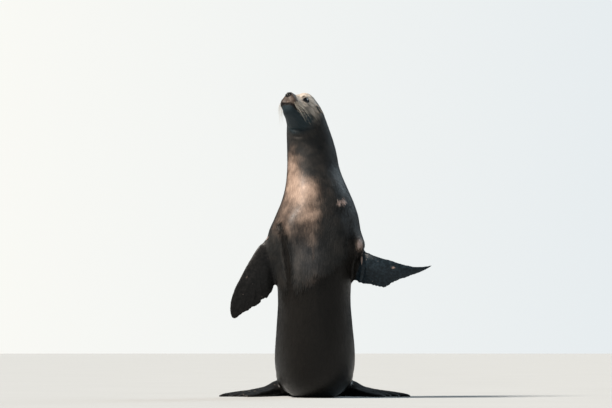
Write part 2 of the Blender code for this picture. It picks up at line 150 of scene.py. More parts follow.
# %% World
DIM = 0.17  # how bright the room is that lights the animal; the backdrop has 1
scene.view_settings.view_transform = "Standard"
world = bpy.data.worlds.new("pale_room")
scene.world = world
world.use_nodes = True
world.node_tree.nodes.remove(world.node_tree.nodes["Background"])
room = Wire(world.node_tree)
direction = room.node("ShaderNodeTexCoord", {}, {}, "Generated")
sideways = room.node("ShaderNodeSeparateXYZ", {}, {0: direction}, "X")
share = room.node("ShaderNodeMapRange", {}, {"Value": sideways, "From Min": -0.1, "From Max": 0.1})
wall = share.blend(tint(0.95, 0.95, 0.91), tint(0.8, 0.845, 0.865))
backdrop = room.node("ShaderNodeBackground", {}, {"Color": wall, "Strength": 1.0})
dim = room.node("ShaderNodeBackground", {}, {"Color": tint(0.74, 0.88, 1.0), "Strength": DIM})
seen = room.node("ShaderNodeLightPath", {}, {}, "Is Camera Ray")
either = room.node("ShaderNodeMixShader", {}, {"Fac": seen, 1: dim, 2: backdrop})
room.tree.links.new(either.socket, room.tree.nodes["World Output"].inputs["Surface"])

# %% Lamps
def lamp(name, come_from, strength, angle, colour):
    """A far lamp: where it comes from, how bright and how wide it is, in degrees."""
    light = bpy.data.lights.new(name, "SUN")
    light.energy, light.angle, light.color = strength, math.radians(angle), colour
    placed(name, light).rotation_euler = (-Vector(come_from)).to_track_quat("-Z", "Y").to_euler()


lamp("key", (-0.95, -0.44, 1.15), 6.2, 14, (1.0, 0.91, 0.82))
lamp("fill", (0.3, -1.0, 0.2), 0.18, 60, (0.72, 0.88, 1.0))
lamp("rim", (0.9, 0.8, 0.8), 1.0, 30, (0.75, 0.9, 1.0))

# %% Camera
camera = placed("camera", bpy.data.cameras.new("camera"))
camera.data.sensor_width = 36
camera.data.lens = 176.5
camera.location = (-0.041, -14.05, 0.25)
camera.rotation_euler = (math.radians(90 + 2.66), 0, 0)
scene.camera = camera

# %% [markdown]
# ## Where the head is
# The head is turned and raised, so its details are placed in its own measures: how far back from the nose,
# how far out to the animal's left and how far up. The two eyes give its turn, and it looks up 26 degrees.

# %% The head's own measures
HEAD_PITCH = math.radians(26)
EYE_RADIUS = 0.019
EYE_BACK, EYE_UP = 0.087, 0.01


def middle(name):
    """The middle of a node's box."""
    low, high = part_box(name)
    return (low + high) / 2


LEFT = (middle("eye_left") - middle("eye_right")).normalized()
LEVEL = LEFT.cross(Vector((0, 0, 1))).normalized()
LOOK = LEVEL * math.cos(HEAD_PITCH) + Vector((0, 0, math.sin(HEAD_PITCH)))
CROWN = LEFT.cross(-LOOK).normalized()
EYE_OUT = (middle("eye_left") - middle("eye_right")).length / 2
NOSE = (middle("eye_left") + middle("eye_right")) / 2 + LOOK * EYE_BACK - CROWN * EYE_UP


def head_point(back, out, up):
    """The place with these measures."""
    return NOSE - LOOK * back + LEFT * out + CROWN * up


def head_measures(places):
    """Back, out and up of every place, as three columns."""
    away = places - np.array(NOSE)
    return np.stack([away @ -np.array(LOOK), away @ np.array(LEFT), away @ np.array(CROWN)], 1)


print("nose:", [round(x, 4) for x in NOSE], "eyes apart:", round(2 * EYE_OUT, 4))

# %% [markdown]
# ## One skin over all the flesh
# Copies of the solids are swelled by a hair, so that they bridge the thin cuts, and melted into one closed
# mesh by a voxel remesh. A remesh is chosen over bridging the cut edges by hand because it doesn't care how
# the pieces are parted, and it gives even faces that can be moulded like clay.

# %% Join and melt
BRIDGE = 0.0006
GRAIN = 0.0034
EYES = ("eye_left", "eye_right")


def swelled(names, amount):
    """One mesh with a copy of every node, its loose triangles merged and its surface pushed out."""
    joined = bmesh.new()
    for name in names:
        one = bmesh.new()
        one.from_mesh(nodes[name].data)
        bmesh.ops.remove_doubles(one, verts=one.verts, dist=1e-5)
        one.normal_update()
        for vertex in one.verts:
            vertex.co += vertex.normal * amount
        copy = bpy.data.meshes.new("copy")
        one.to_mesh(copy)
        one.free()
        joined.from_mesh(copy)
        bpy.data.meshes.remove(copy)
    return joined


def shade_smooth(made):
    made.data.polygons.foreach_set("use_smooth", [True] * len(made.data.polygons))


def baked_in(made):
    """The object with its modifiers' result as its own mesh."""
    seen = made.evaluated_get(bpy.context.evaluated_depsgraph_get())
    mesh = bpy.data.meshes.new_from_object(seen)
    made.modifiers.clear()
    made.data = mesh
    return made


skin = object_of("skin", swelled(sorted(nodes), BRIDGE))
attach(skin, "root")
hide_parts(*[name for name in nodes if name not in EYES])
melt = skin.modifiers.new("melt", "REMESH")
melt.mode = "VOXEL"
melt.voxel_size = GRAIN
baked_in(skin)
print("melted skin:", len(skin.data.polygons), "faces")

# %% [markdown]
# ## Arrays of the skin
# Moulding moves many thousands of points, so the skin is read into arrays: places, outward directions and
# the edges that join neighbours. Averaging each point with its neighbours is what a smoothing brush does.

# %% Read, average and write
def numbers(collection, name, width, kind=np.float32):
    """One property of many points, edges or corners, as an array."""
    values = np.empty(len(collection) * width, kind)
    collection.foreach_get(name, values)
    return values.reshape(-1, width) if width > 1 else values


class Clay:
    """The points of one mesh, ready to be moulded."""

    def __init__(self, made):
        self.made = made
        self.places = numbers(made.data.vertices, "co", 3).astype(float)
        self.edges = numbers(made.data.edges, "vertices", 2, np.int32)
        self.count = np.bincount(self.edges.ravel(), minlength=len(self.places))
        self.feel()

    def feel(self):
        """Reads the outward directions again."""
        self.made.data.vertices.foreach_set("co", self.places.astype(np.float32).ravel())
        self.made.data.update()
        self.outward = numbers(self.made.data.vertex_normals, "vector", 3).astype(float)

    def around(self, values):
        """The mean over every point's neighbours."""
        a, b = self.edges.T
        size = len(self.count)
        columns = values.reshape(size, -1).T
        sums = [
            np.bincount(a, column[b], minlength=size) + np.bincount(b, column[a], minlength=size)
            for column in columns
        ]
        return (np.stack(sums, 1) / self.count[:, None]).reshape(values.shape)

    def spread(self, values, passes):
        """Values blurred over the neighbours."""
        for _ in range(passes):
            values = 0.5 * values + 0.5 * self.around(values)
        return values

    def smooth(self, weight, passes, swell=0.0, step=0.5):
        """Draws points towards their neighbours, and swells back by a share, to keep a thin form's size."""
        share = weight[:, None]
        for _ in range(passes):
            self.places += share * step * (self.around(self.places) - self.places)
            if swell:
                self.places -= share * swell * (self.around(self.places) - self.places)
        self.feel()


clay = Clay(skin)
print("points:", len(clay.places), "edges:", len(clay.edges))

# %% [markdown]
# ## Soft shapes to mould with
# A hill fades away from a line or a point like a thumb's mark, a ramp goes smoothly from 0 to 1, and a bowed
# line runs through a few corners without a kink.

# %% Hills, ramps and lines
def hill(distance, reach):
    """1 at the distance 0, fading away around this reach."""
    return np.exp(-((distance / reach) ** 2))


def ramp(value, start, end):
    """0 before the start, 1 after the end and smooth between them. The end may be the lower one."""
    share = np.clip((value - start) / (end - start), 0, 1)
    return share * share * (3 - 2 * share)


def bowed(corners, steps=5):
    """A smooth line through corners: a Catmull-Rom curve, with this many steps between two of them."""
    held = np.array([corners[0], *corners, corners[-1]], float)
    line = [held[1]]
    for before, start, end, after in zip(held, held[1:], held[2:], held[3:]):
        for t in np.arange(1, steps + 1) / steps:
            pull, turn = 2 * before - 5 * start + 4 * end - after, 3 * start - before - 3 * end + after
            bend = pull * t + turn * t**2
            line.append(start + 0.5 * t * (end - before + bend))
    return np.array(line)


def from_line(flat, corners):
    """How far flat places are from a line through corners, and where along it they are nearest, 0 to 1."""
    best = np.full(len(flat), np.inf)
    along = np.zeros(len(flat))
    last = len(corners) - 1
    for i in range(last):
        start, step = np.array(corners[i]), np.subtract(corners[i + 1], corners[i])
        share = np.clip(((flat - start) @ step) / (step @ step), 0, 1)
        distance = np.linalg.norm(flat - start - share[:, None] * step, axis=1)
        closer = distance < best
        best = np.where(closer, distance, best)
        along = np.where(closer, (i + share) / last, along)
    return best, along

# %% [markdown]
# ## Which node each point came from
# Trunk, head and flippers are moulded and finished differently. The nearest solid names the region of each
# point, and averaging turns the hard borders into soft ones.

# %% Regions
GROUPS = {
    "trunk": ("chest", "belly", "hips", "tail"),
    "neck": ("neck",),
    "head": ("head", "lower_jaw", "eye_left", "eye_right"),
    "ear": ("ear_left", "ear_right"),
    "fore": ("fore_flipper_left", "fore_flipper_right"),
    "hind": ("hind_flipper_left", "hind_flipper_right"),
}
owners = []
solids = bmesh.new()
for group, names in GROUPS.items():
    for name in names:
        solids.from_mesh(nodes[name].data)
        owners += [group] * (len(solids.faces) - len(owners))
nearest = BVHTree.FromBMesh(solids)
solids.free()


def region_of(places):
    """The group of the solid nearest to every place."""
    return np.array([owners[nearest.find_nearest(place)[2]] for place in places.tolist()])


region = region_of(clay.places)
print({group: int((region == group).sum()) for group in GROUPS})

# %% [markdown]
# ## Melt away the facets
# The solids are faceted. The trunk takes many smoothing passes, the head fewer, and the flippers only a few
# that swell back, or their thin edges would shrink.

# %% Smooth
body_share = clay.spread(np.isin(region, ("trunk", "neck")).astype(float), 12)
head_share = clay.spread((region == "head").astype(float), 12)
edge_share = np.clip(1 - body_share - head_share, 0, 1)
clay.smooth(body_share, 90)
clay.smooth(head_share, 14, swell=0.2)
clay.smooth(edge_share, 20, swell=0.36)
print("shrunk to:", [round(x, 3) for x in clay.places.max(0) - clay.places.min(0)])

# %% [markdown]
# ## Room for the coat
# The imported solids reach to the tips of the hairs, so the skin is drawn in by the depth of the coat, which is
# short and lies flat, and shortest on the head. Bare skin on the flippers stays, and so does what lies on
# the floor.

# %% Draw the skin in
BODY_COAT, HEAD_COAT = 0.0022, 0.0012
depth = BRIDGE + BODY_COAT * body_share + HEAD_COAT * head_share
clay.places -= clay.outward * (depth * ramp(clay.places[:, 2], 0.0, 0.03))[:, None]
clay.feel()

# %% [markdown]
# ## Finer clay for the face
# Lids, nostrils and lips need points less than a millimetre apart, which would be too many over the whole
# body. So only the face is divided, and around the eyes and the nose it is divided again.

# %% The eye opening
GAZES = [(LOOK * 0.34 + LEFT * hand * 0.92 + CROWN * 0.12).normalized() for hand in (1, -1)]
OPENING_WIDE, OPENING_ABOVE, OPENING_BELOW = 0.66, 0.6, 0.5  # as shares of the eyeball's radius


def eye_field(places):
    """For the nearer eyeball: distance from its centre, direction, the oval of the lids and the opening.

    Oval and opening are 1 at their rims and less inside. The opening has the inner corner as well.
    """
    both = []
    for name, gaze in zip(EYES, GAZES):
        away = places - np.array(middle(name))
        distance = np.linalg.norm(away, axis=1)
        direction = away / distance[:, None]
        forwards = (LOOK - gaze * LOOK.dot(gaze) - CROWN * 0.16).normalized()
        upwards = gaze.cross(forwards)
        upwards = upwards if upwards.dot(CROWN) > 0 else -upwards
        across, height = away @ np.array(forwards) / EYE_RADIUS, away @ np.array(upwards) / EYE_RADIUS
        tall = np.where(height > 0, OPENING_ABOVE, OPENING_BELOW)
        oval = (np.abs(across / OPENING_WIDE) ** 2.1 + np.abs(height / tall) ** 2.1) ** (1 / 2.1)
        oval += 8.0 * (away @ np.array(gaze) < -0.004)
        corner = np.hypot((across - 0.62) / 0.18, (height + 0.02) / 0.1)
        both.append([distance, direction, oval, np.minimum(oval, corner)])
    left, right = both
    closer = right[0] < left[0]
    return [np.where(closer if a.ndim == 1 else closer[:, None], b, a) for a, b in zip(left, right)]


# %% Divide the face
def divided(made, wanted):
    """Splits the faces all of whose corners are wanted into four."""
    bm = bmesh.new()
    bm.from_mesh(made.data)
    bm.verts.ensure_lookup_table()
    edges = [e for e in bm.edges if wanted[e.verts[0].index] and wanted[e.verts[1].index]]
    bmesh.ops.subdivide_edges(bm, edges=edges, cuts=1, use_grid_fill=True, smooth=0.6)
    bm.to_mesh(made.data)
    bm.free()


def by_ears(places):
    """Which places are at an ear."""
    inside = np.zeros(len(places), bool)
    for name in ("ear_left", "ear_right"):
        low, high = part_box(name)
        inside |= ((places > np.array(low) - 0.004) & (places < np.array(high) + 0.004)).all(1)
    return inside


def in_face(places):
    back, _, up = head_measures(places).T
    return (back < 0.128) & (up > -0.112) | by_ears(places)


def near_eyes_and_nose(places):
    back, out, up = head_measures(places).T
    by_nose = (back < 0.03) & (np.abs(out) < 0.024) & (up > -0.05)
    by_mouth = (np.abs(up + 0.048) < 0.011) & (back < 0.114)
    return by_nose | by_mouth | by_ears(places) | (eye_field(places)[3] < 2.0)


def near_lids(places):
    return np.abs(eye_field(places)[3] - 1) < 0.3


for wanted in (in_face, near_eyes_and_nose, near_lids):
    divided(skin, wanted(clay.places))
    clay = Clay(skin)
    print("divided:", len(clay.places), "points")

# %% [markdown]
# ## Mould the muzzle
# A sea lion's muzzle is blunt: a leathery nose pad with two slanting nostrils, a furrow under it, two full
# whisker pads and a thin lip line that dips under the pads and climbs to its corner below the eye.
# Each form is a soft hill or a furrow, pushed along the surface's own outward direction.

# %% Push and measure
PAD_WIDE, PAD_TALL = 0.0165, 0.0125  # half the nose pad's width and height


def push(amount, way=None):
    """Moves the points outwards, all one way, or each its own way."""
    clay.places += amount[:, None] * (clay.outward if way is None else np.array(way))
    clay.feel()


def face():
    """Back, out, up, and how far each point faces the way of the nose."""
    return [*head_measures(clay.places).T, clay.outward @ np.array(LOOK)]


def from_pad(out, up):
    """Distance from the middle of the nose pad, 1 at its rim."""
    return np.sqrt((out / PAD_WIDE) ** 2 + ((up - 0.001) / PAD_TALL) ** 2)


# %% Soften the muzzle
back, _, up, _ = face()
clay.smooth(ramp(back, 0.085, 0.045) * ramp(up, -0.12, -0.1), 26)

# %% Nose pad, pads and lips
MOUTH_BACKS = (-0.002, 0.018, 0.042, 0.068, 0.092, 0.11)
MOUTH_UPS = (-0.04, -0.046, -0.054, -0.054, -0.047, -0.038)
mouth_line = bowed(list(zip(MOUTH_BACKS, MOUTH_UPS)))


def lip_height_at(back):
    """How high the line between the lips is."""
    return np.interp(back, *mouth_line.T)


back, out, up, ahead = face()
nose_pad = ramp(from_pad(out, up), 1.15, 0.8) * ramp(back, 0.03, 0.018) * ramp(ahead, 0.05, 0.35)
push(0.003 * nose_pad, LOOK)

back, out, up, _ = face()
side_pad = hill(np.sqrt(((back - 0.036) / 1.15) ** 2 + (np.abs(out) - 0.034) ** 2 + (up + 0.031) ** 2), 0.021)
push(0.0028 * side_pad)

back, _, up, _ = face()
lip, lip_along = from_line(np.stack([back, up], 1), mouth_line)
on_jaws = ramp(back, 0.125, 0.1) * ramp(np.abs(up + 0.048), 0.032, 0.017)
lip_height = lip_height_at(back)
below = ramp(lip_height - up, 0.0, 0.004) * ramp(lip_height - up, 0.026, 0.01) * on_jaws
push(-0.0026 * below * ramp(back, 0.1, 0.06))
push(0.0014 * hill(up - lip_height - 0.005, 0.0045) * on_jaws)
push(-0.005 * hill(lip, 0.0017) * on_jaws * ramp(lip_along, 1.0, 0.86))

# %% Nostrils and the furrow below
NOSTRIL = ((0.0046, -0.005), (0.0058, 0.0005), (0.0088, 0.0048), (0.013, 0.0062))  # out and up
back, out, up, ahead = face()
for hand in (1, -1):
    away, _ = from_line(np.stack([out, up], 1), bowed([(at * hand, height) for at, height in NOSTRIL]))
    push(0.0007 * hill(away - 0.0034, 0.0014) * nose_pad)
    push(-0.0056 * hill(away, 0.0016) * ramp(back, 0.03, 0.018) * ramp(ahead, 0.0, 0.3), LOOK)
furrow = hill(out, 0.0013) * ramp(up, -0.006, -0.01) * ramp(up, -0.046, -0.04) * ramp(ahead, 0.1, 0.4)
push(-0.0022 * furrow)
print("muzzle moulded; nose now at", round(float(head_measures(clay.places)[:, 0].min()), 4))

# %% [markdown]
# ## Lids over the eyeballs
# The eyeball is a separate ball that sits deep in the head. The skin is drawn over it like a lid, and the
# almond opening is sunk below the ball's surface, so the rim that stays has a real thickness.

# %% Lids
LID = 0.0016
SUNK = 0.0035  # how deep the opening lies under the ball's surface
distance, direction, oval, _ = eye_field(clay.places)
push(np.clip(EYE_RADIUS + LID - distance, 0, None) * ramp(oval, 1.6, 1.3), direction)
clay.smooth(ramp(oval, 3.2, 2.2) * ramp(oval, 1.0, 1.3), 40)
distance, direction, oval, _ = eye_field(clay.places)
push((EYE_RADIUS + LID - distance) * ramp(oval, 1.7, 1.1), direction)

# %% Opening, rim and folds
oval, opening = eye_field(clay.places)[2:]
push(0.0007 * hill(opening - 1.12, 0.08) - 0.001 * hill(oval - 1.42, 0.07) + 0.0006 * hill(oval - 1.62, 0.12))
distance, direction, oval, opening = eye_field(clay.places)
push((EYE_RADIUS - SUNK - distance) * ramp(opening, 1.04, 0.95), direction)
clay.smooth(hill(opening - 1.0, 0.09), 3, step=0.4)
print("points of the lids:", int((oval < 2).sum()))

# %% [markdown]
# ## Ears and throat
# The ears are little furled scrolls, each with a slit along its lower side. Where the raised head meets the
# neck the loose skin of the throat lies in two soft folds.

# %% Ear slits
SLIT_BESIDE = 0.006  # how far the slit lies from the middle of the scroll
for name, hand in (("ear_left", 1), ("ear_right", -1)):
    spots = numbers(nodes[name].data.vertices, "co", 3).astype(float)
    heart = spots.mean(0)
    along = np.linalg.svd(spots - heart, full_matrices=False)[2][0]
    along *= np.sign(-(along @ np.array(LOOK)))
    outwards = np.array(LEFT) * hand - np.array(CROWN) * 0.5
    outwards = outwards - along * (outwards @ along)
    outwards /= np.linalg.norm(outwards)
    away = clay.places - heart
    reach = away @ along
    beside = np.linalg.norm(away - reach[:, None] * along - outwards * SLIT_BESIDE, axis=1)
    push(-0.0042 * hill(beside, 0.003) * ramp(reach, -0.016, -0.006) * ramp(reach, 0.026, 0.016))
clay.smooth(by_ears(clay.places), 5, step=0.4)

# %% Throat folds
THROAT_FOLDS = (
    # below the nose, depth, half width of the fold, half its length
    (0.158, 0.0062, 0.0055, 0.055),
    (0.19, 0.0036, 0.006, 0.045),
)
back, out, *_ = face()
throat = ramp(clay.outward @ np.array(LEVEL), 0.0, 0.5) * ramp(back, 0.06, 0.09)
for drop, depth, wide, reach in THROAT_FOLDS:
    bow = clay.places[:, 2] - (NOSE.z - drop) - 3.2 * out**2
    push(-depth * hill(bow, wide) * hill(out, reach) * throat)
    push(depth * 0.35 * hill(bow + 2.2 * wide, wide * 1.3) * hill(out, reach) * throat)

# %% [markdown]
# ## The chest and the roots of the flippers
# From in front the wet shine shows soft forms: two pectoral muscles, a faint line down the breastbone, a pit
# where the right upper arm starts and a crease that runs from it down the root of the flipper. On the other
# side a fold and a hollow part the left flipper from the chest, and the elbow stands out a little.
# Most are measured as shares of the chest's own box, seen from the front.

# %% Front measures
def spot(node, share_x, share_z):
    """A flat place, as shares of a node's box seen from the front."""
    low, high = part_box(node)
    return (low.x + (high.x - low.x) * share_x, low.z + (high.z - low.z) * share_z)


def fronts():
    """Places as seen from the front, and how far each faces that way."""
    return clay.places[:, [0, 2]], ramp(-clay.outward[:, 1], -0.1, 0.35)


def blot(flat, centre, wide, tall):
    """A soft oval, 1 in its centre."""
    return np.exp(-(((flat[:, 0] - centre[0]) / wide) ** 2) - ((flat[:, 1] - centre[1]) / tall) ** 2)


# %% Muscles of the chest
MUSCLES = (
    # centre as shares of the chest's box, half width, half height, how full
    (0.4, 0.8, 0.04, 0.055, 0.005),
    (0.6, 0.78, 0.036, 0.05, 0.0038),
    (0.33, 0.6, 0.05, 0.075, 0.0055),
    (0.68, 0.58, 0.05, 0.08, 0.005),
    (0.53, 0.62, 0.018, 0.06, 0.003),
    (0.42, 0.95, 0.05, 0.04, 0.004),
    (0.5, 0.25, 0.06, 0.08, 0.004),
)
flat, front = fronts()
for share_x, share_z, wide, tall, full in MUSCLES:
    push(full * front * blot(flat, spot("chest", share_x, share_z), wide, tall))
flat, front = fronts()
breastbone, _ = from_line(flat, [spot("chest", 0.525, 0.52), spot("chest", 0.53, 0.05)])
push(0.0016 * front * hill(breastbone, 0.013))

# %% The pit and the crease of the right flipper, and the fold of the left one
CREASE = ((0.215, 0.59), (0.235, 0.5), (0.25, 0.36), (0.27, 0.22))  # shares of the chest's box
# sideways and up, in metres
FOLD = ((0.22, 0.652), (0.226, 0.61), (0.222, 0.565), (0.214, 0.525))
ARMPIT = ((0.196, 0.668), (0.178, 0.62), (0.172, 0.56), (0.176, 0.51))
flat, front = fronts()
pit = np.linalg.norm(flat - np.array(spot("chest", 0.19, 0.672)), axis=1)
push(-0.003 * front * hill(pit, 0.014))
crease, along = from_line(flat, bowed([spot("chest", *corner) for corner in CREASE]))
flat, front = fronts()
fading = ramp(along, 1.0, 0.6) * ramp(along, -0.05, 0.25)
push(-0.007 * front * hill(crease, 0.006 + 0.006 * along) * fading)
push(0.0035 * front * hill(crease - 0.016, 0.01) * fading)
fold, _ = from_line(flat, bowed(FOLD))
inside = flat[:, 0] < FOLD[2][0]
push(-0.005 * front * hill(fold, 0.0045) + 0.0035 * front * hill(fold - 0.012, 0.007) * inside)
armpit, _ = from_line(flat, bowed(ARMPIT))
push(-0.006 * front * hill(armpit, 0.008))
elbow = np.linalg.norm(flat - np.array(spot("chest", 0.925, 0.545)), axis=1)
push(0.01 * ramp(clay.outward[:, 0], -0.1, 0.4) * hill(elbow, 0.03))
print("chest moulded")

# %% [markdown]
# ## Fingers in the flippers and folds of the back
# A fore flipper is a hand in a mitten: its five fingers show as faint ribs that end at the scallops of the
# trailing edge. On the bent lower back the loose skin is gathered in a few soft folds.

# %% Tip of the left blade
TIP_FROM = spot("fore_flipper_left", 0.74, 0)[0]
LOST = 0.1  # the share by which the smoothing has shortened the thin tip
clay.places[:, 0] += LOST * np.clip(clay.places[:, 0] - TIP_FROM, 0, None)
clay.feel()

# %% Ribs of the fingers
FINGERS = {
    # wrist and fingertips, as shares of the flipper's box
    "fore_flipper_right": ((0.62, 0.72), ((0.1, 0.03), (0.22, 0.05), (0.36, 0.09), (0.52, 0.15), (0.72, 0.24))),
    "fore_flipper_left": ((0.1, 0.62), ((0.97, 0.68), (0.86, 0.52), (0.73, 0.38), (0.59, 0.27), (0.46, 0.16))),
}
for name, (wrist, tips) in FINGERS.items():
    this_one = (region_of(clay.places) == "fore") & (clay.places[:, 0] * middle(name).x > 0)
    on_blade = clay.spread(this_one.astype(float), 6)
    for tip in tips:
        flat, _ = fronts()
        start, end = np.array(spot(name, *wrist)), np.array(spot(name, *tip))
        rib, along = from_line(flat, [start, 0.96 * end + 0.04 * start])
        push(on_blade * 0.0016 * hill(rib, 0.005) * ramp(along, 0.02, 0.3) * ramp(along, 1.0, 0.9))
print("fingers:", sum(len(tips) for _, tips in FINGERS.values()))

# %% Folds of the back and the nape
BACK_FOLDS = (
    # share of the chest's height, half width, depth, bow
    (0.02, 0.11, 0.006, 0.9),
    (0.095, 0.1, 0.0048, 0.8),
    (0.165, 0.08, 0.0032, 0.6),
    (0.96, 0.07, 0.0028, -0.8),
)
for share_z, wide, depth, bow in BACK_FOLDS:
    height = spot("chest", 0.5, share_z)[1]
    away = clay.places[:, 2] - height - bow * clay.places[:, 0] ** 2
    behind = ramp(clay.outward[:, 1], 0.0, 0.5) * hill(clay.places[:, 0], wide)
    push(depth * behind * (0.6 * hill(away - 0.02, 0.014) - hill(away, 0.008)))
print("folds:", len(BACK_FOLDS))

# %% [markdown]
# ## Fewer faces where little happens
# The even clay is thinned at the end: the face keeps every point, and the smooth trunk needs far fewer.

# %% Thin out the trunk
OVER_FLOOR = 0.0004  # the least height of the skin
KEPT_POINTS = 88000
clay.places[:, 2] = np.maximum(clay.places[:, 2], OVER_FLOOR)
clay.feel()
kept = in_face(clay.places) | (head_measures(clay.places)[:, 0] < 0.05)
plain = skin.vertex_groups.new(name="plain")
plain.add(np.flatnonzero(~kept).tolist(), 1.0, "REPLACE")
thin = skin.modifiers.new("thin", "DECIMATE")
thin.ratio = KEPT_POINTS / len(clay.places)
thin.vertex_group = "plain"
baked_in(skin)
skin.vertex_groups.clear()
shade_smooth(skin)
skin.data.calc_loop_triangles()
print("skin:", len(skin.data.vertices), "points,", len(skin.data.loop_triangles), "triangles")

# %% [markdown]
# ## The lie of the coat
# Hair lies from the nose to the tail. A line through the middles of the solids is the animal's spine, and
# every point gets its place along it and beside it. These measures straighten the bent body, so that streaks
# in the coat and its tufts can follow it round every bend.

# %% Spine
SPINE_NODES = ("head", "neck", "chest", "belly", "hips", "tail")
SPINE_BLUR = 0.05  # how far the measures of neighbouring stretches mix
AT_ONCE = 20000  # places measured at one time, to save memory
tail_low, tail_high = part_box("tail")
stations = [NOSE, *[middle(name) for name in SPINE_NODES], Vector((0, tail_high.y, tail_low.z))]
spine = bowed([tuple(station) for station in stations], steps=12)
spine_way = np.gradient(spine, axis=0)
spine_way /= np.linalg.norm(spine_way, axis=1)[:, None]
spine_reach = np.concatenate([[0], np.cumsum(np.linalg.norm(np.diff(spine, axis=0), axis=1))])


def along_spine(places):
    """Places in the straightened body, and the way the coat lies there."""
    straight, lie = np.empty((len(places), 3)), np.empty((len(places), 3))
    for start in range(0, len(places), AT_ONCE):
        batch = slice(start, start + AT_ONCE)
        some = places[batch]
        squares = ((some[:, None, :] - spine[None]) ** 2).sum(2)
        weight = np.exp(-(squares - squares.min(1)[:, None]) / (2 * SPINE_BLUR**2))
        weight /= weight.sum(1)[:, None]
        heart, way = weight @ spine, weight @ spine_way
        way /= np.linalg.norm(way, axis=1)[:, None]
        side = np.cross(way, np.cross(np.array([1.0, 0, 0]), way))
        side /= np.linalg.norm(side, axis=1)[:, None]
        beside, height = some - heart, np.cross(way, side)
        straight[batch] = np.stack([(beside * side).sum(1), (beside * height).sum(1), weight @ spine_reach], 1)
        lie[batch] = way
    return straight, lie


skin_places = numbers(skin.data.vertices, "co", 3).astype(float)
skin_outward = numbers(skin.data.vertex_normals, "vector", 3).astype(float)
skin_straight, skin_lie = along_spine(skin_places)
print("spine:", round(float(spine_reach[-1]), 2), "m from nose to tail")

# %% [markdown]
# ## Markings
# Wet, the coat is nearly black, and where it has begun to dry it turns tan: on the crown, the cheeks and the
# upper chest, where painted sheen is added on the side towards the key lamp. The bridge and forehead are paler
# the more they face up, a painted highlight. The belly is soaked, and the hollows beside the flippers are
# darkened with painted shade. The back is a drier, greyer brown, and a painted sheen greys the middle of the
# lower chest. The roots of the whiskers are darkest, it is darker around the eye openings, and the underside
# of the jaw, the throat under the head and the underside of the ears carry painted shade, in a blue that is
# also a painted reflection. A few places hold pale scars, and painted glints lie on the elbow, the root of
# the right flipper, the left wrist fold and the ruffled left shoulder. The left flipper has a painted blue
# reflection. The flippers, the nose and the rims of lids and lips are bare black skin. Each marking
# is a share from 0 to 1 stored on the points, so that skin and tufts wear the same ones.

# %% Where the markings are
SHOULDER_RUFFLE = spot("chest", 0.758, 0.86)
WET_AND_SHADED_PITS = (
    # the hollows beside the fore flippers, wet and darkened with painted shade: corners as shares of the
    # chest's box, half width
    (((0.218, 0.6), (0.256, 0.41), (0.275, 0.24), (0.3, 0.12)), 0.017),
    (((0.836, 0.58), (0.854, 0.36), (0.84, 0.22)), 0.024),
    (((0.18, 0.685), (0.196, 0.645)), 0.019),
)
# sideways, above the belly's top
WATER_LINE = ((-0.2, 0.03), (-0.1, 0.01), (-0.045, 0.035), (0.023, 0.06), (0.092, 0.115), (0.16, 0.18))
TAN_AND_SHEEN_PATCHES = (
    # centre as shares of the chest's box, half width, half height, strength; tan of the drying coat with
    # painted sheen, strongest on the animal's right of the upper chest, towards the key lamp
    (0.28, 1.06, 0.056, 0.115, 0.76),
    (0.405, 0.93, 0.074, 0.06, 1.0),
    (0.465, 0.76, 0.05, 0.046, 0.66),
    (0.26, 0.78, 0.1, 0.09, 0.36),
    (0.2, 0.68, 0.045, 0.06, 0.32),
    (0.45, 0.6, 0.07, 0.07, 0.29),
    (0.49, 0.46, 0.008, 0.05, 0.3),
)
SCARS_AND_GLINTS = (
    # scars, and painted highlights at the elbow, the root of the right flipper and the left wrist fold: node,
    # centre as shares of its box, half width, half height
    # painted highlight on the left elbow
    ("chest", 0.93, 0.548, 0.014, 0.024),
    # painted glint at the root of the right flipper
    ("chest", 0.05, 0.6, 0.01, 0.014),
    ("fore_flipper_right", 0.372, 0.542, 0.009, 0.01),
    ("fore_flipper_left", 0.47, 0.554, 0.006, 0.007),
    # painted highlight along the wrist fold of the left flipper
    ("fore_flipper_left", 0.055, 0.8, 0.004, 0.03),
)
WHISKER_ROWS = (
    # how far up each row is, and how far back its roots are
    (-0.018, (0.028, 0.036, 0.044)),
    (-0.024, (0.022, 0.03, 0.039, 0.048)),
    (-0.03, (0.018, 0.026, 0.035, 0.044, 0.053)),
    (-0.036, (0.022, 0.031, 0.04, 0.05)),
    (-0.042, (0.027, 0.036, 0.045)),
)

# %% Fading marks
def region_share(places, names, reach):
    """1 on these nodes, fading to 0 over a distance."""
    some = bmesh.new()
    for name in names:
        some.from_mesh(nodes[name].data)
    tree = BVHTree.FromBMesh(some)
    some.free()
    return np.array([ramp(tree.find_nearest(place, 0.2)[3] or 0.2, reach, 0.0) for place in places.tolist()])


def lip_taper(back):
    """The bare lips narrow towards the corner of the mouth."""
    return 0.35 + 0.65 * ramp(back, 0.115, 0.05)


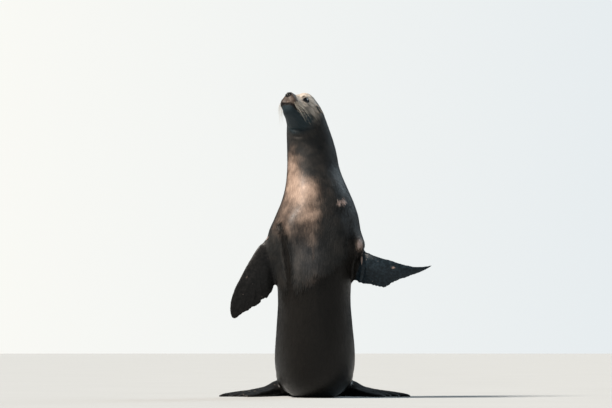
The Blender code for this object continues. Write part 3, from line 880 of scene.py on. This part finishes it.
# %% Marks of the head
def head_marks(places, outward):
    """The share of each marking that is placed by the head's own measures."""
    back, out, up = head_measures(places).T
    ahead, raised = outward @ np.array(LOOK), outward @ np.array(CROWN)
    on_head = ramp(back, 0.3, 0.2)
    opening = eye_field(places)[3]
    lip_line, _ = from_line(np.stack([back, up], 1), mouth_line)
    lip_height = lip_height_at(back)
    nose = ramp(from_pad(out, up), 1.2, 0.95) * ramp(back, 0.03, 0.018) * ramp(ahead, -0.1, 0.25)
    lips = ramp(lip_line / lip_taper(back), 0.004, 0.0018) * ramp(back, 0.118, 0.095)
    crown = ramp(up, 0.02, 0.06) * ramp(back, 0.03, 0.09) * ramp(back, 0.26, 0.1)
    # painted highlight: the bridge and forehead are paler the more they face up
    bridge = ramp(raised, 0.15, 0.65) * ramp(back, 0.02, 0.045) * ramp(back, 0.16, 0.08)
    flank = 0.55 * ramp(up, -0.03, -0.01) * ramp(back, 0.02, 0.04) * ramp(back, 0.095, 0.075)
    bridge = np.maximum(bridge, flank * ramp(ahead, 0.75, 0.45))
    brow = hill(np.hypot(back - 0.09, up - 0.036), 0.02) * ramp(np.abs(out), 0.016, 0.026) * on_head
    cheek = hill(np.hypot((back - 0.125) / 1.15, up + 0.006), 0.062) * on_head * ramp(np.abs(out), 0.03, 0.05)
    # painted shade on the underside of the jaw, below the lip line
    jaw = ramp(up, lip_height - 0.001, lip_height - 0.006) * ramp(back, 0.17, 0.12) * on_head
    # painted shade on the underside of the ears, the more they face down
    ear = region_share(places, GROUPS["ear"], 0.006) * ramp(raised, 0.3, -0.15)
    roots = [hill(np.hypot(back - root, up - row), 0.0017) for row, backs in WHISKER_ROWS for root in backs]
    spotted = 0.8 * np.maximum.reduce(roots) * ramp(back, 0.09, 0.06)
    return {
        "bare": np.maximum.reduce([nose, lips, ramp(opening, 1.32, 1.12)]),
        "pale_and_highlight": np.maximum(0.64 * crown, bridge) + 0.7 * brow + 0.6 * cheek,
        "tan_and_sheen": ramp(back, 0.085, 0.05) * ramp(up, -0.054, -0.038) * 0.35,
        "dark_and_shade": np.maximum.reduce([jaw, 0.8 * ear, spotted, 0.55 * ramp(opening, 1.8, 1.25)]),
    }


# %% Marks of the whole animal
def markings(places, outward):
    """The share of each marking at every place."""
    head = head_marks(places, outward)
    back = head_measures(places)[:, 0]
    flat, forward = places[:, [0, 2]], -outward[:, 1]
    # the ruffled left shoulder: lifted pale hair and a painted glint, in the pale share and the share of scars
    # and glints
    ruffle = blot(flat, SHOULDER_RUFFLE, 0.03, 0.026) * ramp(forward, -0.2, 0.4)
    fore, hind = region_share(places, GROUPS["fore"], 0.035), region_share(places, GROUPS["hind"], 0.05)
    plain = np.ones(len(places))
    for share_x, share_z, wide, tall, strength in TAN_AND_SHEEN_PATCHES:
        plain *= 1 - strength * blot(flat, spot("chest", share_x, share_z), wide, tall)
    # painted highlight on the left elbow, added to the tan share
    elbow = 0.7 * blot(flat, spot("chest", 0.93, 0.545), 0.03, 0.042)
    tan_and_sheen = np.clip(np.maximum((1 - plain + elbow) * ramp(forward, -0.2, 0.5), head["tan_and_sheen"]), 0, 1)
    water_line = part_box("belly")[1].z + np.interp(places[:, 0], *zip(*WATER_LINE))
    clumps = hill(places[:, 2] - water_line, 0.024) * hill(places[:, 0] + 0.02, 0.062) * ramp(forward, 0.2, 0.6)
    soaked_and_shade = ramp(places[:, 2], water_line + 0.06, water_line - 0.06)
    # painted shade in the hollows beside the fore flippers, added to the soaked share
    for line, wide in WET_AND_SHADED_PITS:
        away, _ = from_line(flat, bowed([spot("chest", *corner) for corner in line]))
        soaked_and_shade = np.maximum(soaked_and_shade, 0.95 * hill(away, wide) * ramp(forward, -0.1, 0.3))
    # painted shadow of the raised head on the throat
    throat = 0.9 * blot(flat, spot("chest", 0.36, 1.45), 0.075, 0.06) * ramp(forward, -0.2, 0.3)
    # painted sheen: the middle of the lower chest is greyer, where the wet coat shines
    chest = 0.8 * blot(flat, spot("chest", 0.44, 0.45), 0.09, 0.108) * ramp(forward, 0.0, 0.5)
    behind = 0.55 * ramp(forward, 0.1, -0.6) * ramp(back, 0.16, 0.4)
    # pale scars, and painted glints at the elbow, the root of the right flipper and the left wrist fold
    paler = [blot(flat, spot(node, *centre), wide, tall) for node, *centre, wide, tall in SCARS_AND_GLINTS]
    return {
        "bare": np.maximum.reduce([fore, hind, head["bare"]]),
        "pale_and_highlight": np.clip(head["pale_and_highlight"] + 0.4 * ruffle, 0, 1),
        "tan_and_sheen": np.maximum(tan_and_sheen, 0.28 * clumps),
        "soaked_and_shade": soaked_and_shade,
        "dark_and_shade": np.maximum(head["dark_and_shade"], throat),
        # the drier back, the painted sheen of the lower chest and the painted blue reflection on the left
        # flipper
        "dry_and_sheen": np.maximum.reduce([chest, behind, region_share(places, ("fore_flipper_left",), 0.05)]),
        "scars_and_glints": np.maximum(np.maximum.reduce(paler) * ramp(forward, -0.1, 0.4), 0.85 * ruffle),
    }


def mark(made, shares):
    """Stores shares or places as attributes of the object's points."""
    for name, values in shares.items():
        kind, key = ("FLOAT", "value") if values.ndim == 1 else ("FLOAT_VECTOR", "vector")
        made.data.attributes.new(name, kind, "POINT").data.foreach_set(key, values.astype(np.float32).ravel())


skin_marks = markings(skin_places, skin_outward)
mark(skin, skin_marks | {"straight": skin_straight})
print("markings:", {name: round(float(share.mean()), 3) for name, share in skin_marks.items()})

# %% [markdown]
# ## The wet coat and the bare skin
# Real wet fur is many fine streaks under a film of water. A noise pattern stretched eightfold along the
# straightened body gives the streaks, and wider noises give damp and dry patches. Tan with its painted sheen,
# crown with the painted highlight on the bridge, and jaw with its painted shade follow the stored shares with
# ragged borders, and so do the drier, soaked and dark places with their painted sheen and shade, and the
# scars with the painted glints. The flippers are black leather with small wrinkles, a few pale scars and
# painted glints, and the left one is bluer with a painted reflection. One finish changes smoothly from coat to
# leather where the coat thins out.

# %% New finishes
def finish(name, constants):
    """A new material, its shader with these constants set, an empty wire, and one with the place."""
    material = bpy.data.materials.new(name)
    material.use_nodes = True
    shader = material.node_tree.nodes["Principled BSDF"]
    for socket, value in constants.items():
        shader.inputs[socket].default_value = value
    start = Wire(material.node_tree)
    return material, shader, start, start.node("ShaderNodeTexCoord", {}, {}, "Object")


def feed(shader, wires):
    """Plugs wires into the shader's sockets."""
    for name, wire in wires.items():
        wire.tree.links.new(wire.socket, shader.inputs[name])


# %% Colours of the wet coat
constants = {"Coat Roughness": 0.34, "Coat IOR": 1.33, "Specular IOR Level": 0.14}
wet_coat, shader, start, place = finish("wet_coat", constants)
straight = start.node("ShaderNodeAttribute", {"attribute_name": "straight"}, {}, "Vector")
along_coat = start.node("ShaderNodeMapping", {}, {"Vector": straight, "Scale": (1, 1, 0.12)})
strands, locks = along_coat.noise(0.0013), along_coat.noise(0.0055)
damp, broad = straight.noise(0.045, 3.0), straight.noise(0.16)
bare, pale_and_highlight, tan_and_sheen, soaked_and_shade, dark_and_shade, dry_and_sheen, scars_and_glints = (start.share_of(name) for name in skin_marks)
ragged = (locks - 0.5) * 0.5 + (damp - 0.5) * 0.7

wet_brown = damp.clipped(0.3, 0.75).blend(tint(0.014, 0.0145, 0.0145), tint(0.028, 0.026, 0.024))
# the drier grey brown of the back, also the grey of the painted sheen on the lower chest
dry_and_sheen_brown = damp.clipped(0.3, 0.7).blend(tint(0.04, 0.041, 0.043), tint(0.066, 0.062, 0.06))
# tan of the drying coat, and the pinkish tone of the painted sheen on the upper chest
tan_and_sheen_brown = (damp + tan_and_sheen * 0.7).clipped(0.55, 1.25).blend(tint(0.19, 0.128, 0.095), tint(0.43, 0.31, 0.24))
crown = locks.clipped(0.3, 0.7).blend(tint(0.44, 0.38, 0.31), tint(0.72, 0.63, 0.54))
colour = (dry_and_sheen + ragged * 0.6).clipped(0.1, 0.9).blend(wet_brown, dry_and_sheen_brown)
colour = (tan_and_sheen + ragged * 0.6).clipped(0.05, 1.0).blend(colour, tan_and_sheen_brown)
# pale fur of the crown, cheeks and brow, and the painted highlight on the bridge
colour = (pale_and_highlight + ragged * 0.5).clipped(0.15, 0.85).blend(colour, crown)
# the darkest places: whisker roots, and the painted shade and painted blue reflection under the jaw, on the
# throat and under the ears
colour = (dark_and_shade + ragged * 0.3).clipped(0.2, 0.8).blend(colour, tint(0.017, 0.028, 0.034))
# the soaked belly, and the painted shade in the hollows beside the flippers
colour = (soaked_and_shade + ragged * 1.7).clipped(0.3, 0.7).blend(colour, tint(0.008, 0.007, 0.006))
# pale pink scars, and painted glints at the elbow, the right flipper's root, the wrist fold and the ruffled
# shoulder
colour = (scars_and_glints * 0.85 + ragged * 1.1).clipped(0.35, 0.62).blend(colour, tint(0.55, 0.41, 0.36))
shade = (strands * 0.55 + locks * 0.45).clipped(0.25, 0.75) * 0.55 + 0.7
colour = start.node("ShaderNodeVectorMath", {"operation": "SCALE"}, {0: colour, 3: shade})

# %% Leather, gloss and bump
inputs = {"Vector": place, "Scale": 360.0, "Smoothness": 0.8}
wrinkles = start.node("ShaderNodeTexVoronoi", {"feature": "SMOOTH_F1"}, inputs)
creases = place.noise(0.012, 4.0, 0.6)
paler = creases.clipped(0.35, 0.7)
black_skin = paler.blend(tint(0.0062, 0.006, 0.0058), tint(0.0165, 0.0155, 0.015))
# painted blue reflection on the left flipper
blue_reflection_skin = paler.blend(tint(0.007, 0.012, 0.016), tint(0.018, 0.029, 0.038))
leather = dry_and_sheen.blend(black_skin, blue_reflection_skin)
fleck = place.noise(0.01, 1.0).clipped(0.745, 0.8)
leather = (fleck * 0.8).blend(leather, tint(0.35, 0.28, 0.24))
# pale scars on the leather, and painted glints on it at the elbow and the left wrist fold
scar_and_glint = (scars_and_glints + (creases - 0.5) * 0.5).clipped(0.3, 0.7)
leather = (scar_and_glint * 0.8).blend(leather, tint(0.36, 0.26, 0.22))
on_leather = (bare + (locks - 0.5) * 0.5).clipped(0.35, 0.65)
colour = on_leather.blend(colour, leather)

height = (strands * 0.35 + locks * 0.65) * (1 - on_leather) + (wrinkles * 0.12 + creases * 0.3) * on_leather
bump = start.node("ShaderNodeBump", {}, {"Height": height, "Strength": 0.55, "Distance": 0.0022}, "Normal")
gloss = 0.48 + (damp - 0.5) * 0.25 + pale_and_highlight * 0.14 - soaked_and_shade * 0.12
gloss = gloss * (1 - on_leather) + (0.4 + (creases - 0.5) * 0.3) * on_leather
film = (0.5 + (broad - 0.5) * 0.8 - pale_and_highlight * 0.35 - dark_and_shade * 0.35 - soaked_and_shade * 0.3).clipped(0.0, 1.0) * 0.3
feed(shader, {"Base Color": colour, "Roughness": gloss, "Coat Weight": film, "Normal": bump})
skin.data.materials.append(wet_coat)

# %% [markdown]
# ## Floor finish
# Plain pale plaster with a breath of unevenness.

# %% Plaster
plaster, shader, start, place = finish("plaster", {"Roughness": 0.9, "Specular IOR Level": 0.1})
feed(shader, {"Base Color": place.noise(0.7, 3.0).blend(tint(0.445, 0.46, 0.46), tint(0.485, 0.5, 0.5))})
floor.data.materials.append(plaster)

# %% [markdown]
# ## Eyes
# A sea lion's eye is large and nearly black: a wide pupil in a dark brown iris under a wet, clear surface.
# Each is a ball spun finely enough to reflect the lamps as clean spots.

# %% Eyeballs
def eyeball(name, gaze):
    """A ball in the place of this node, marked with how far each point faces the way of the gaze."""
    ball = bmesh.new()
    bmesh.ops.create_uvsphere(ball, u_segments=48, v_segments=32, radius=EYE_RADIUS)
    bmesh.ops.rotate(ball, verts=ball.verts, matrix=gaze.to_track_quat("Z", "Y").to_matrix())
    bmesh.ops.translate(ball, verts=ball.verts, vec=middle(name))
    made = object_of(name + "_ball", ball)
    shade_smooth(made)
    away = (numbers(made.data.vertices, "co", 3) - np.array(middle(name))) / EYE_RADIUS
    mark(made, {"gazing": away @ np.array(gaze)})
    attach(made, "root")
    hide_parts(name)
    return made


constants = {"Coat Weight": 0.6, "Coat Roughness": 0.02, "Specular IOR Level": 0.3}
wet_eye, shader, start, place = finish("wet_eye", constants)
gazing = start.share_of("gazing") + (place.noise(0.0016) - 0.5) * 0.02
iris = place.noise(0.0012, 3.0).blend(tint(0.01, 0.005, 0.003), tint(0.03, 0.015, 0.008))
white = place.noise(0.004).blend(tint(0.012, 0.008, 0.007), tint(0.03, 0.02, 0.016))
colour = gazing.clipped(0.7, 0.76).blend(white, iris)
colour = gazing.clipped(0.8, 0.84).blend(colour, tint(0.002, 0.002, 0.002))
feed(shader, {"Base Color": colour, "Roughness": 0.1 + place.noise(0.003) * 0.08})
for name, gaze in zip(EYES, GAZES):
    eyeball(name, gaze).data.materials.append(wet_eye)
print("eyes made")

# %% [markdown]
# ## Claws
# The three middle toes of each hind foot carry a small horn claw on top of the web, well behind the toe's
# tip. Each is a ball drawn out to a point, dull and dark.

# %% Claws of the hind feet
SIDES = {1: "left", -1: "right"}  # which way to go outwards, and its side
FOOT_REACH, FOOT_WIDE = Vector((0.62, -0.785, 0)).normalized(), Vector((0.785, 0.62, 0)).normalized()
ANKLE_IN, ANKLE_BACK = 0.054, 0.009  # the ankle, from the foot's inner and rear sides
CLAW_ALONG, CLAWS_ACROSS = 0.275, (-0.037, -0.002, 0.034)  # from the ankle
CLAW_LONG, CLAW_WIDE, CLAW_TALL = 0.0115, 0.0044, 0.0034  # half sizes
CLAW_HEIGHT = 0.0238  # of its middle over the floor


def claws_of(name, hand):
    """The three claws of one hind foot, as one mesh."""
    low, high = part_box(name)
    inner = low.x if hand > 0 else high.x
    ankle = Vector((inner - ANKLE_IN * hand, high.y - ANKLE_BACK, 0))
    reach, spread = Vector((FOOT_REACH.x * hand, FOOT_REACH.y, 0)), Vector((FOOT_WIDE.x * hand, FOOT_WIDE.y, 0))
    horn = bmesh.new()
    for across in CLAWS_ACROSS:
        grown = bmesh.ops.create_uvsphere(horn, u_segments=16, v_segments=12, radius=1.0)["verts"]
        for vertex in grown:
            length, width, tall = vertex.co.z, vertex.co.x, vertex.co.y
            slim = 1 - 0.45 * max(length, 0) ** 1.5
            height = CLAW_HEIGHT + CLAW_TALL * tall * slim - CLAW_TALL * max(length, 0) ** 2
            vertex.co = ankle + reach * (CLAW_ALONG + CLAW_LONG * length) + Vector((0, 0, height))
            vertex.co += spread * (across + CLAW_WIDE * width * slim)
    bmesh.ops.recalc_face_normals(horn, faces=horn.faces)
    made = object_of(f"claws_{SIDES[hand]}", horn)
    shade_smooth(made)
    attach(made, "root")
    return made


dull_horn, shader, start, place = finish("dull_horn", {"Specular IOR Level": 0.45})
grain = start.node("ShaderNodeMapping", {}, {"Vector": place, "Scale": (1, 1, 3)}).noise(0.0018, 3.0)
growth = start.node("ShaderNodeBump", {}, {"Height": grain, "Strength": 0.4, "Distance": 0.0004}, "Normal")
colour = grain.clipped(0.35, 0.65).blend(tint(0.045, 0.038, 0.032), tint(0.14, 0.12, 0.1))
feed(shader, {"Base Color": colour, "Roughness": 0.34 + grain * 0.22, "Normal": growth})
for hand, side in SIDES.items():
    claws_of(f"hind_flipper_{side}", hand).data.materials.append(dull_horn)
print("claws:", 2 * len(CLAWS_ACROSS))

# %% [markdown]
# ## Whiskers
# Sea lions have long, smooth, pale whiskers in rows on each pad, short in front and long behind, and on this
# wet head they sweep back and down past the corner of the mouth. Each is a bevelled curve that tapers, and
# the curves are turned into mesh at the end, because a mesh keeps its shape everywhere.

# %% Rows of whiskers
WHISKER_THICK = 0.00052  # half, at the root
rng = np.random.default_rng(7)
skin_bmesh = bmesh.new()
skin_bmesh.from_mesh(skin.data)
skin_tree = BVHTree.FromBMesh(skin_bmesh)
skin_bmesh.free()


def whiskers_of(hand):
    """The whiskers of one side, as one mesh."""
    line = bpy.data.curves.new("whiskers", "CURVE")
    line.dimensions, line.bevel_depth, line.bevel_resolution, line.resolution_u = "3D", WHISKER_THICK, 1, 4
    line.use_fill_caps = True
    for up, backs in WHISKER_ROWS:
        for back in backs:
            outside = head_point(back - 0.004, 0.12 * hand, up)
            root, normal, _, _ = skin_tree.ray_cast(outside, -LEFT * hand)
            if root is None:
                continue
            length = 0.028 + 1.4 * (back - 0.014) + 0.018 * rng.random()
            way = normal * 0.55 - LOOK * (0.55 + 0.2 * rng.random()) - CROWN * (0.35 + 0.25 * rng.random())
            way.normalize()
            bend = (-CROWN * 0.5 - LOOK * 0.55 - LEFT * hand * 0.1) * length
            line_points = [
                (root - normal * 0.002, 1.0),
                (root + way * length * 0.3, 0.9),
                (root + way * length * 0.62 + bend * 0.16, 0.6),
                (root + way * length * 0.86 + bend * 0.42, 0.12),
            ]
            spline = line.splines.new("NURBS")
            spline.points.add(len(line_points) - 1)
            spline.use_endpoint_u, spline.order_u = True, 4
            for point, (at, thick) in zip(spline.points, line_points):
                point.co, point.radius = (*at, 1.0), thick
    holder = placed("line", line)
    mesh = bpy.data.meshes.new_from_object(holder.evaluated_get(bpy.context.evaluated_depsgraph_get()))
    bpy.data.objects.remove(holder)
    made = placed(f"whiskers_{SIDES[hand]}", mesh)
    shade_smooth(made)
    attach(made, "root")
    return made


pale_hair, shader, start, place = finish("pale_hair", {"Specular IOR Level": 0.5})
tone = place.noise(0.012)
colour = tone.blend(tint(0.52, 0.46, 0.36), tint(0.8, 0.76, 0.68))
feed(shader, {"Base Color": colour, "Roughness": 0.3 + tone * 0.15})
for hand in SIDES:
    whiskers = whiskers_of(hand)
    whiskers.data.materials.append(pale_hair)
    print(whiskers.name, len(whiskers.data.polygons), "faces")

# %% [markdown]
# ## Tufts of the coat
# The coat is short and lies flat, so most of it is the streaks in the finish. Thin, overlapping tufts break
# the surface: small ones all over, longer and looser ones where the soaked coat begins, and lifted ones on
# the left shoulder. None grow on bare skin, on lids and lips, on the ears or at the floor.
# Each is a flat lock with a ridge, two rings and a tip, laid along the coat and sunk at its root.
# All are made at once as arrays and joined, because there are tens of thousands of them.

# %% Unwrap of the skin's own shape
bpy.context.view_layer.objects.active = skin
skin.select_set(True)
bpy.ops.object.mode_set(mode="EDIT")
bpy.ops.mesh.select_all(action="SELECT")
bpy.ops.uv.smart_project(angle_limit=math.radians(66), island_margin=0.002)
bpy.ops.object.mode_set(mode="OBJECT")
skin.data.uv_layers.active.name = "skin_map"
skin.data.calc_loop_triangles()
corners = numbers(skin.data.loop_triangles, "vertices", 3, np.int32)
corner_loops = numbers(skin.data.loop_triangles, "loops", 3, np.int32)
skin_map = numbers(skin.data.uv_layers["skin_map"].data, "uv", 2).astype(float)
print("unwrapped:", len(corners), "triangles")

# %% Where tufts grow
def loosened(share):
    """1 where the coat turns from damp to soaked, fading both ways."""
    return hill(share - 0.5, 0.3)


PER_AREA = 25000  # tufts on a square metre of plain coat
first, second, third = skin_places[corners].transpose(1, 0, 2)
triangle_places = skin_places[corners].mean(1)
areas = 0.5 * np.linalg.norm(np.cross(second - first, third - first), axis=1)
marks_there = {name: values[corners].mean(1) for name, values in skin_marks.items()}
facing_front = ramp(-skin_outward[corners].mean(1)[:, 1], -0.2, 0.5)
back, out, up = head_measures(triangle_places).T
on_head = ramp(back, 0.24, 0.16)
ruffled = facing_front * blot(triangle_places[:, [0, 2]], SHOULDER_RUFFLE, 0.03, 0.034)
density = PER_AREA * (1 + 2.4 * on_head + 0.6 * loosened(marks_there["soaked_and_shade"]) + 1.5 * ruffled)
density *= (marks_there["bare"] < 0.35) * (triangle_places[:, 2] > 0.012) * ~by_ears(triangle_places)
from_lips, _ = from_line(np.stack([back, up], 1), mouth_line)
density *= ~((from_lips < 0.0065 * lip_taper(back)) & (back < 0.118))
density *= eye_field(triangle_places)[3] > 1.7
expected = areas * density
print("tufts wanted:", int(expected.sum()))

# %% Roots of the tufts
count = int(expected.sum())
chosen = rng.choice(len(corners), count, p=expected / expected.sum())
share_of_corner = -np.log(rng.random((count, 3)))
share_of_corner /= share_of_corner.sum(1)[:, None]


def at_roots(values):
    """A value of the skin's points, at every root."""
    return (values[corners[chosen]] * share_of_corner.reshape(count, 3, *[1] * (values.ndim - 1))).sum(1)


def unit(ways):
    return ways / np.linalg.norm(ways, axis=1)[:, None]


def laid_flat(ways):
    """Directions at the roots, turned down onto the skin."""
    return unit(ways - (ways * normals).sum(1)[:, None] * normals)


roots, normals = at_roots(skin_places), unit(at_roots(skin_outward))
root_marks = {name: at_roots(values) for name, values in skin_marks.items()}
root_straight = at_roots(skin_straight)
root_map = (skin_map[corner_loops[chosen]] * share_of_corner[:, :, None]).sum(1)
back, out, up = head_measures(roots).T
head_share = ramp(back, 0.32, 0.16)
lie = at_roots(skin_lie)
from_nose = head_share * ramp(back, 0.1, 0.02) * ramp(up, -0.06, 0.0)
lie += 0.9 * from_nose[:, None] * np.array(-LOOK)
lie = laid_flat(lie + 0.1 * rng.standard_normal(lie.shape))
print("tufts:", count, "on the head:", int((head_share > 0.5).sum()))

# %% Shape of the tufts
RINGS = ((0.0, 0.55, -0.0007), (0.45, 1.0, 0.0))  # how far along, how wide, how deep
ROUNDING = 0.45  # how far a lock's sides turn away, as hair does
LOWEST = 0.0002  # no lock reaches into the floor
TUFT_FACES = ((3, 4, 1, 0), (4, 5, 2, 1), (5, 3, 0, 2), (6, 4, 3), (6, 5, 4), (6, 3, 5), (0, 1, 2))
loose = loosened(root_marks["soaked_and_shade"]) * ramp(-normals[:, 1], 0.0, 0.6)
ruffle = ramp(-normals[:, 1], -0.2, 0.5) * blot(roots[:, [0, 2]], SHOULDER_RUFFLE, 0.026, 0.024)
chance = rng.random((4, count))
size = 0.7 + 0.6 * chance[0]
length = size * (0.015 - 0.0095 * head_share + 0.01 * loose * chance[1] + 0.004 * ruffle)
width = size * (0.0034 - 0.0019 * head_share + 0.0006 * loose)
lift = 0.02 + 0.035 * chance[2] + 0.2 * loose * chance[1] + 0.45 * ruffle * chance[1]
thick = size * (0.0003 - 0.00012 * head_share)
lie = laid_flat(unit(lie + ruffle[:, None] * 0.9 * (rng.random((count, 3)) - 0.5)))
side = np.cross(normals, lie)
points, patch = [], []
for along, wide, sunk in RINGS:
    heart = roots + lie * (along * length)[:, None] + normals * (sunk + lift * along * length)[:, None]
    for across, raised in ((-0.5, 0.0), (0.0, 1.0), (0.5, 0.0)):
        points.append(heart + side * (across * wide * width)[:, None] + normals * (raised * thick)[:, None])
        patch.append((across, along - 0.5))
points.append(roots + lie * length[:, None] + normals * (lift * length * 0.8 - 0.0001)[:, None])
patch.append((0.0, 0.5))
points, patch = np.stack(points, 1), np.array(patch)
points[:, :, 2] = np.maximum(points[:, :, 2], LOWEST)
turned = normals[:, None] + side[:, None] * patch[None, :, :1] * 2 * ROUNDING
shine = unit(turned.reshape(-1, 3)).reshape(points.shape)
print("longest tuft:", round(float(length.max()), 4), "tallest lift:", round(float(lift.max()), 2))

# %% Coat pieces
BAKE_PATCH = 0.003  # how wide a tuft is on the unwrap
STREAK_PATCH = (0.0016, 0.0, 0.01)  # how wide and long a tuft is for the streaks
MOST_TUFTS = 19000  # in one piece, so that it stays under 200,000 triangles
COAT_PARTS = ("head", "neck", "chest", "belly", "hips")
PART_ENDS = (0.26, 0.52, 0.8, 1.15)  # along the spine
TUFT_POINTS, TUFT_TRIANGLES = len(patch), sum(len(face) - 2 for face in TUFT_FACES)


def coat_piece(name, which):
    """One mesh of all these tufts, with the markings and the bake's map."""
    many, corner_of = len(which), np.concatenate(TUFT_FACES)
    mesh = bpy.data.meshes.new(name)
    mesh.vertices.add(many * TUFT_POINTS)
    mesh.vertices.foreach_set("co", points[which].astype(np.float32).ravel())
    loops = (corner_of[None] + TUFT_POINTS * np.arange(many)[:, None]).ravel()
    mesh.loops.add(len(loops))
    mesh.loops.foreach_set("vertex_index", loops.astype(np.int32))
    sides = np.tile([len(face) for face in TUFT_FACES], many)
    mesh.polygons.add(len(sides))
    mesh.polygons.foreach_set("loop_start", (np.cumsum(sides) - sides).astype(np.int32))
    mesh.update(calc_edges=True)
    made = placed(name, mesh)
    shade_smooth(made)
    mesh.normals_split_custom_set_from_vertices(shine[which].reshape(-1, 3).tolist())
    bake = mesh.uv_layers.new(name="OFBake")
    spread_out = np.clip(root_map[which][:, None] + patch[corner_of][None] * BAKE_PATCH, 0.0, 1.0)
    bake.data.foreach_set("uv", spread_out.astype(np.float32).ravel())
    mark(made, {name: np.repeat(values[which], TUFT_POINTS, 0) for name, values in root_marks.items()})
    shift = patch[:, [0, 0, 1]] * STREAK_PATCH
    mark(made, {"straight": (root_straight[which][:, None] + shift[None]).reshape(-1, 3)})
    mesh.materials.append(wet_coat)
    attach(made, "root")
    return made


reach_down = root_straight[:, 2]
owner = np.digitize(reach_down, PART_ENDS)
for part, name in enumerate(COAT_PARTS):
    which = np.nonzero(owner == part)[0]
    which = which[np.argsort(reach_down[which], kind="stable")]
    pieces = max(1, math.ceil(len(which) / MOST_TUFTS))
    for turn, some in enumerate(np.array_split(which, pieces)):
        made = coat_piece(f"coat_{name}" + (f"_{turn + 1}" if pieces > 1 else ""), some)
        print(made.name, len(some), "tufts,", len(some) * TUFT_TRIANGLES, "triangles")
